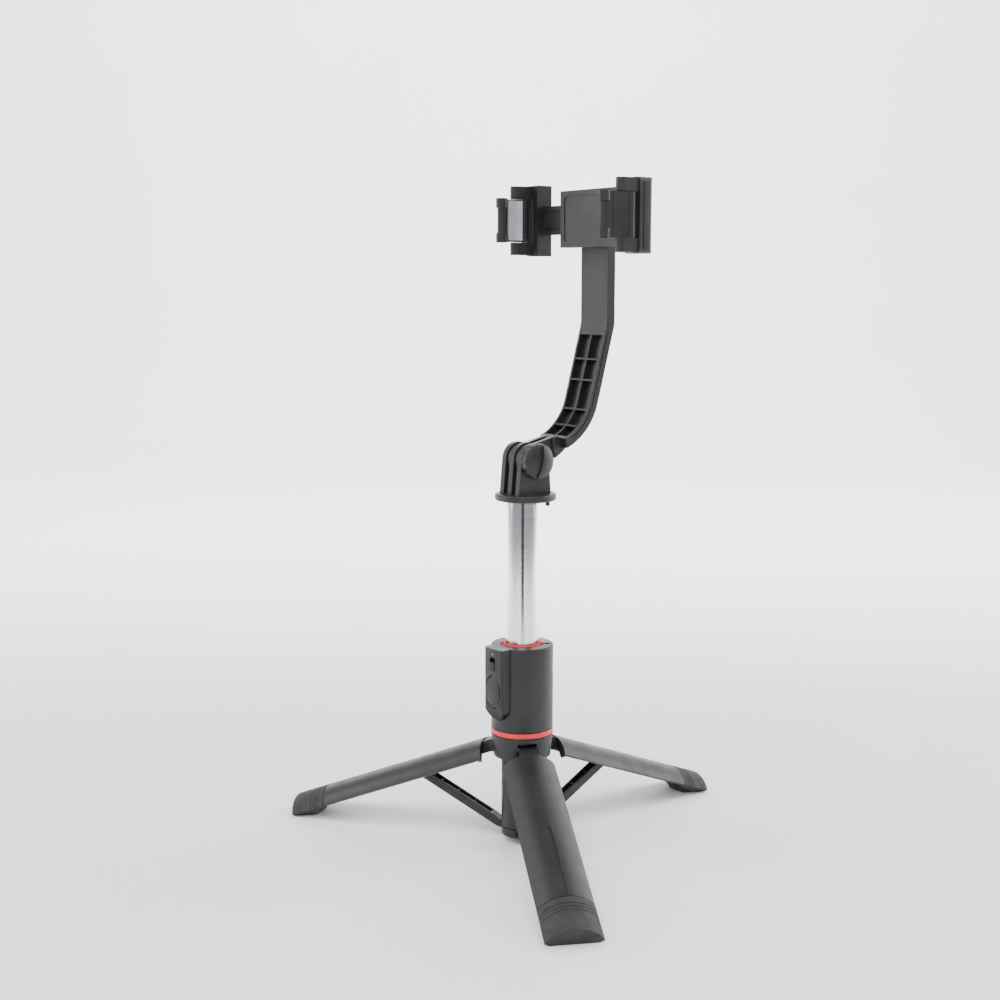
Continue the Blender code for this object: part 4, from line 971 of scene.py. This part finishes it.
def make_housing():
    half = BODY_HALF_HEIGHT
    shell = block((HOUSING_LEFT, BLOCK_IN + 1), (BODY_FRONT, BODY_BACK), (-half, half))
    cavity = block((HOUSING_LEFT + 1.7, 31.0), (BODY_FRONT + 1.6, BODY_BACK + 1), (-11.8, 11.8))
    mouth = block((HOUSING_LEFT - 1, HOUSING_LEFT + 3), (36.9, 40.3), (-7.3, 7.3))
    housing = cut(join(shell, end_block(1)), cavity, mouth)
    panel = rounded(HOUSING_LEFT + 3.0, 29.0, 2.6 - half, half - 2.6, 2.0)
    housing = cut(housing, extruded(panel, -BODY_FRONT - 0.4, 0, AXLE))
    show(housing, "holder_housing", "black_plastic", HOLDER, 0.35)

    cover = block((HOUSING_LEFT + 2.0, 30.7), (BODY_BACK - 1.3, BODY_BACK), (-11.5, 11.5))
    cover = cut(cover, rod(1.8, 38, 50, FINE, BACKWARD))
    top = BODY_BACK - 0.1
    foot = BODY_BACK - 1.3
    for number, (x, z) in enumerate(COVER_SCREWS, start=1):
        cover = cut(cover, rod(1.8, 38, 50, 32, shift(x, 0, z) @ BACKWARD))
        screw = turned([(0, top), (1.1, top), (1.5, top - 0.3), (1.5, foot), (0, foot)], 40, closed=False)
        for turn in (0, 90):
            screw = cut(screw, block((-0.16, 0.16), (-0.9, 0.9), (top - 0.45, top + 1), spin(turn + 20)))
        show(screw, f"holder_screw_{number}", "plated_steel", HOLDER @ shift(x, 0, z) @ BACKWARD, 0.05)
    show(cover, "holder_back_cover", "black_plastic", HOLDER, 0.2)


def make_springs():
    """Round-wire coils with a flat turn at each end."""
    start = HOUSING_LEFT + 1.7 + 0.6
    end = 3.3
    turns = 8
    for number, z in enumerate((-SPRING_Z, SPRING_Z), start=1):
        curve = bpy.data.curves.new("coil", "CURVE")
        curve.dimensions = "3D"
        curve.bevel_depth = WIRE_RADIUS * MM
        curve.bevel_resolution = 3
        curve.use_fill_caps = True
        spline = curve.splines.new("POLY")
        count = turns * 24
        spline.points.add(count)
        for i, point in enumerate(spline.points):
            angle = 2 * pi * i / 24
            advance = min(1.0, max(0.0, (i / 24 - 0.8) / (turns - 1.6)))
            x = start + (end - start) * advance
            y = SPRING_Y + COIL_RADIUS * cos(angle)
            point.co = (x * MM, y * MM, (z + COIL_RADIUS * sin(angle)) * MM, 1.0)
        obj = bpy.data.objects.new("coil", curve)
        bpy.context.scene.collection.objects.link(obj)
        show(solid_from(obj), f"holder_spring_{number}", "plated_steel", HOLDER, 0)


def make_carriage():
    tongue = block((-BLOCK_IN - 1, 4.5), (37.2, 40.0), (-7.0, 7.0))
    tail = block((4.0, 6.0), (37.0, 40.2), (-11.3, 11.3))
    body = join(end_block(-1), tongue, tail)
    for z in (-4.2, 4.2):
        body = cut(body, block((-31.5, 1.0), (36.0, 37.7), (z - 0.7, z + 0.7)))
        body = cut(body, block((-31.5, 1.0), (39.5, 41.0), (z - 0.7, z + 0.7)))
    show(body, "carriage", "black_plastic", HOLDER, 0.35)


def make_jaw(side):
    """A jaw that swings about an upright pin, with knuckles at its tip and a grooved pad."""
    name = "right_jaw" if side > 0 else "left_jaw"
    place = HOLDER @ shift(side * JAW_PIN_X, JAW_PIN_Y, 0)

    def solid(outline, low, high):
        return extruded([(side * (x - JAW_PIN_X), y - JAW_PIN_Y) for x, y in outline], low, high)

    top = JAW_HALF_HEIGHT
    line = arc(JAW_PIN_X, JAW_PIN_Y, 2.8, -7.4, 237.6, 30) + arc(JAW_TIP_X, JAW_TIP_Y, 2.1, 101, 352.6, 30)
    body = solid(line, -top, top)
    knuckle = arc(JAW_TIP_X, JAW_TIP_Y, 2.8, 0, 354, 59)
    for ends in ((-top - 0.4, -top + 4.2), (top - 4.2, top + 0.4)):
        body = join(body, solid(knuckle, *ends))
    # Two fine grooves across the outer face, which slopes outwards from the tip to the pin.
    for y in (18.9, 27.3):
        groove_floor = 41.2 + (y - JAW_TIP_Y) * 0.13
        body = cut(body, solid(rectangle(groove_floor, 46.0, y, y + 0.5), -top - 1, top + 1))
    tip = shift(side * (JAW_TIP_X - JAW_PIN_X), JAW_TIP_Y - JAW_PIN_Y, 0)
    body = cut(body, rod(JAW_PIN_RADIUS + GAP, -20, 20, 32), rod(0.8, top - 1.5, top + 2, 24, tip))
    body = cut(body, rod(0.8, -top - 2, 1.5 - top, 24, tip))
    show(body, name, "black_plastic", place, 0.25)

    face = PHONE_HALF_WIDTH
    back = face + 1.5
    outline = [(back, 18.9), (face, 18.9), (face, 20.6), (face + 1.0, 24.4), (face, 27.2), (back, 27.2)]
    pad_half = top - 0.7
    pad = solid(outline, -pad_half, pad_half)
    for step in range(-4, 5):
        z = step * 2.0
        inner, outer = sorted((side * (face - JAW_PIN_X - 1), side * (face - JAW_PIN_X + 0.25)))
        pad = cut(pad, block((inner, outer), (-20, 0), (z - 0.25, z + 0.25)))
    show(pad, f"{name}_pad", "grey_pad", place, 0.15)
    half = BLOCK_HALF_HEIGHT - 2.2
    pin = rod(JAW_PIN_RADIUS, -half, half, 32)
    show(pin, f"{name}_pin", "plated_steel", place, 0.1)


# --- studio -----------------------------------------------------------------------------------------


def make_floor():
    """One seamless pale sweep: a floor that curves up into a backdrop well behind the object."""
    near = -3.2
    bend = 1.4
    curve = 0.8
    half_width = 4.0
    line = [(near, 0.0)] + arc(bend, curve, curve, -90, 0, 16) + [(bend + curve, 3.4)]
    points = []
    for run, height in line:
        points += [(-half_width, run, height), (half_width, run, height)]
    faces = [(2 * i, 2 * i + 1, 2 * i + 3, 2 * i + 2) for i in range(len(line) - 1)]
    mesh = bpy.data.meshes.new("studio_sweep")
    mesh.from_pydata(points, [], faces)
    mesh.shade_smooth()
    sweep = bpy.data.objects.new("studio_sweep", mesh)
    bpy.context.scene.collection.objects.link(sweep)
    sweep.rotation_euler = (0, 0, radians(CAMERA_YAW))
    surface = Surface("studio_paper", (0.93, 0.93, 0.935), 0.9)
    surface.blend(surface.span(surface.noise(6, 3), 0, 1), (0.92, 0.92, 0.925), (0.94, 0.94, 0.945))
    mesh.materials.append(surface.material)


def make_light(name, place, target, size, power, tint=(1.0, 1.0, 1.0)):
    lamp = bpy.data.lights.new(name, "AREA")
    lamp.shape = "RECTANGLE"
    lamp.size, lamp.size_y = size
    lamp.energy = power
    lamp.color = tint
    obj = bpy.data.objects.new(name, lamp)
    bpy.context.scene.collection.objects.link(obj)
    obj.location = place
    obj.rotation_euler = (Vector(target) - Vector(place)).to_track_quat("-Z", "Y").to_euler()


def from_camera(ahead, right, height):
    """A place given by how far it lies past the object and to its right, as the camera sees it."""
    yaw = radians(CAMERA_YAW)
    return (-sin(yaw) * ahead + cos(yaw) * right, cos(yaw) * ahead + sin(yaw) * right, height)


def make_painted_shadow_card():
    """A dark card behind the camera, a painted shadow: it stands in for the shade that the camera and
    photographer cast on the floor, and its reflection draws the dark line down the polished tube.
    """
    half_width = 0.16
    bottom = 0.005
    top = 0.5
    outline = rectangle(-half_width, half_width, bottom, top)
    corners = [from_camera(-0.86, right, height) for right, height in outline]
    mesh = bpy.data.meshes.new("painted_shadow_card")
    mesh.from_pydata(corners, [], [(0, 1, 2, 3)])
    card = bpy.data.objects.new("painted_shadow_card", mesh)
    bpy.context.scene.collection.objects.link(card)
    # Painted shadow: a near-black matte surface that stands in for the shade cast on the floor near the
    # camera.
    surface = Surface("painted_shadow_black", (0.01, 0.01, 0.01), 0.95)
    surface.blend(surface.span(surface.noise(60, 3), 0, 1), (0.008, 0.008, 0.008), (0.014, 0.014, 0.014))
    mesh.materials.append(surface.material)


def make_studio():
    make_floor()
    # A painted shadow: a dark card standing in for the shade that the camera and photographer cast on the
    # floor.
    make_painted_shadow_card()
    make_light("right_softbox", from_camera(0.45, 1.3, 0.75), (0, 0, 0.12), (0.8, 1.3), 22)
    make_light("left_softbox", from_camera(0.1, -1.3, 0.75), (0, 0, 0.12), (0.6, 1.3), 13)
    make_light("overhead", from_camera(-0.9, 0.0, 1.9), from_camera(-0.25, 0.0, 0.0), (2.2, 0.9), 34)
    make_light("front_floor", from_camera(-2.1, 0.0, 1.3), from_camera(-2.1, 0.0, 0.0), (2.4, 1.0), 50)
    # The backdrop lights face away from the object, so that its upper faces don't mirror them.
    make_light("backdrop_low", from_camera(0.5, 0.0, 0.9), from_camera(2.2, 0.0, 0.35), (2.4, 0.3), 44)
    make_light("backdrop_high", from_camera(0.6, 0.0, 1.6), from_camera(2.2, 0.0, 1.0), (2.6, 0.6), 60)
    world = bpy.data.worlds.new("studio_air")
    world.use_nodes = True
    bpy.context.scene.world = world
    sky = world.node_tree.nodes["Background"]
    sky.inputs["Color"].default_value = (0.95, 0.96, 1.0, 1.0)
    sky.inputs["Strength"].default_value = 0.42


def make_camera():
    camera = bpy.data.cameras.new("camera")
    camera.lens = CAMERA_LENS
    camera.sensor_width = 36.0
    obj = bpy.data.objects.new("camera", camera)
    bpy.context.scene.collection.objects.link(obj)
    obj.location = HEAD @ (Vector(CAMERA_PLACE) * MM)
    obj.rotation_euler = (radians(90.0 - CAMERA_PITCH), 0.0, radians(CAMERA_YAW))
    bpy.context.scene.camera = obj


# --- assembly ---------------------------------------------------------------------------------------


def main():
    make_hub()
    make_skirt()
    make_remote()
    for number, azimuth in enumerate(LEG_AZIMUTHS, start=1):
        make_leg(number, azimuth)
        make_foot_pad(number, azimuth)
        make_strut(number, azimuth)
    make_column()
    for number in range(1, TUBE_COUNT + 1):
        make_tube(number)
    make_head()
    make_knob()
    make_arm()
    make_pivot()
    make_housing()
    make_springs()
    make_carriage()
    make_jaw(1)
    make_jaw(-1)
    for part in frame["record"]["subparts"]:
        node = frame["nodes"][part["node"]]
        node.data.materials.clear()
        node.data.materials.append(MATERIALS[part["material_slot"]])
    make_studio()
    make_camera()


main()
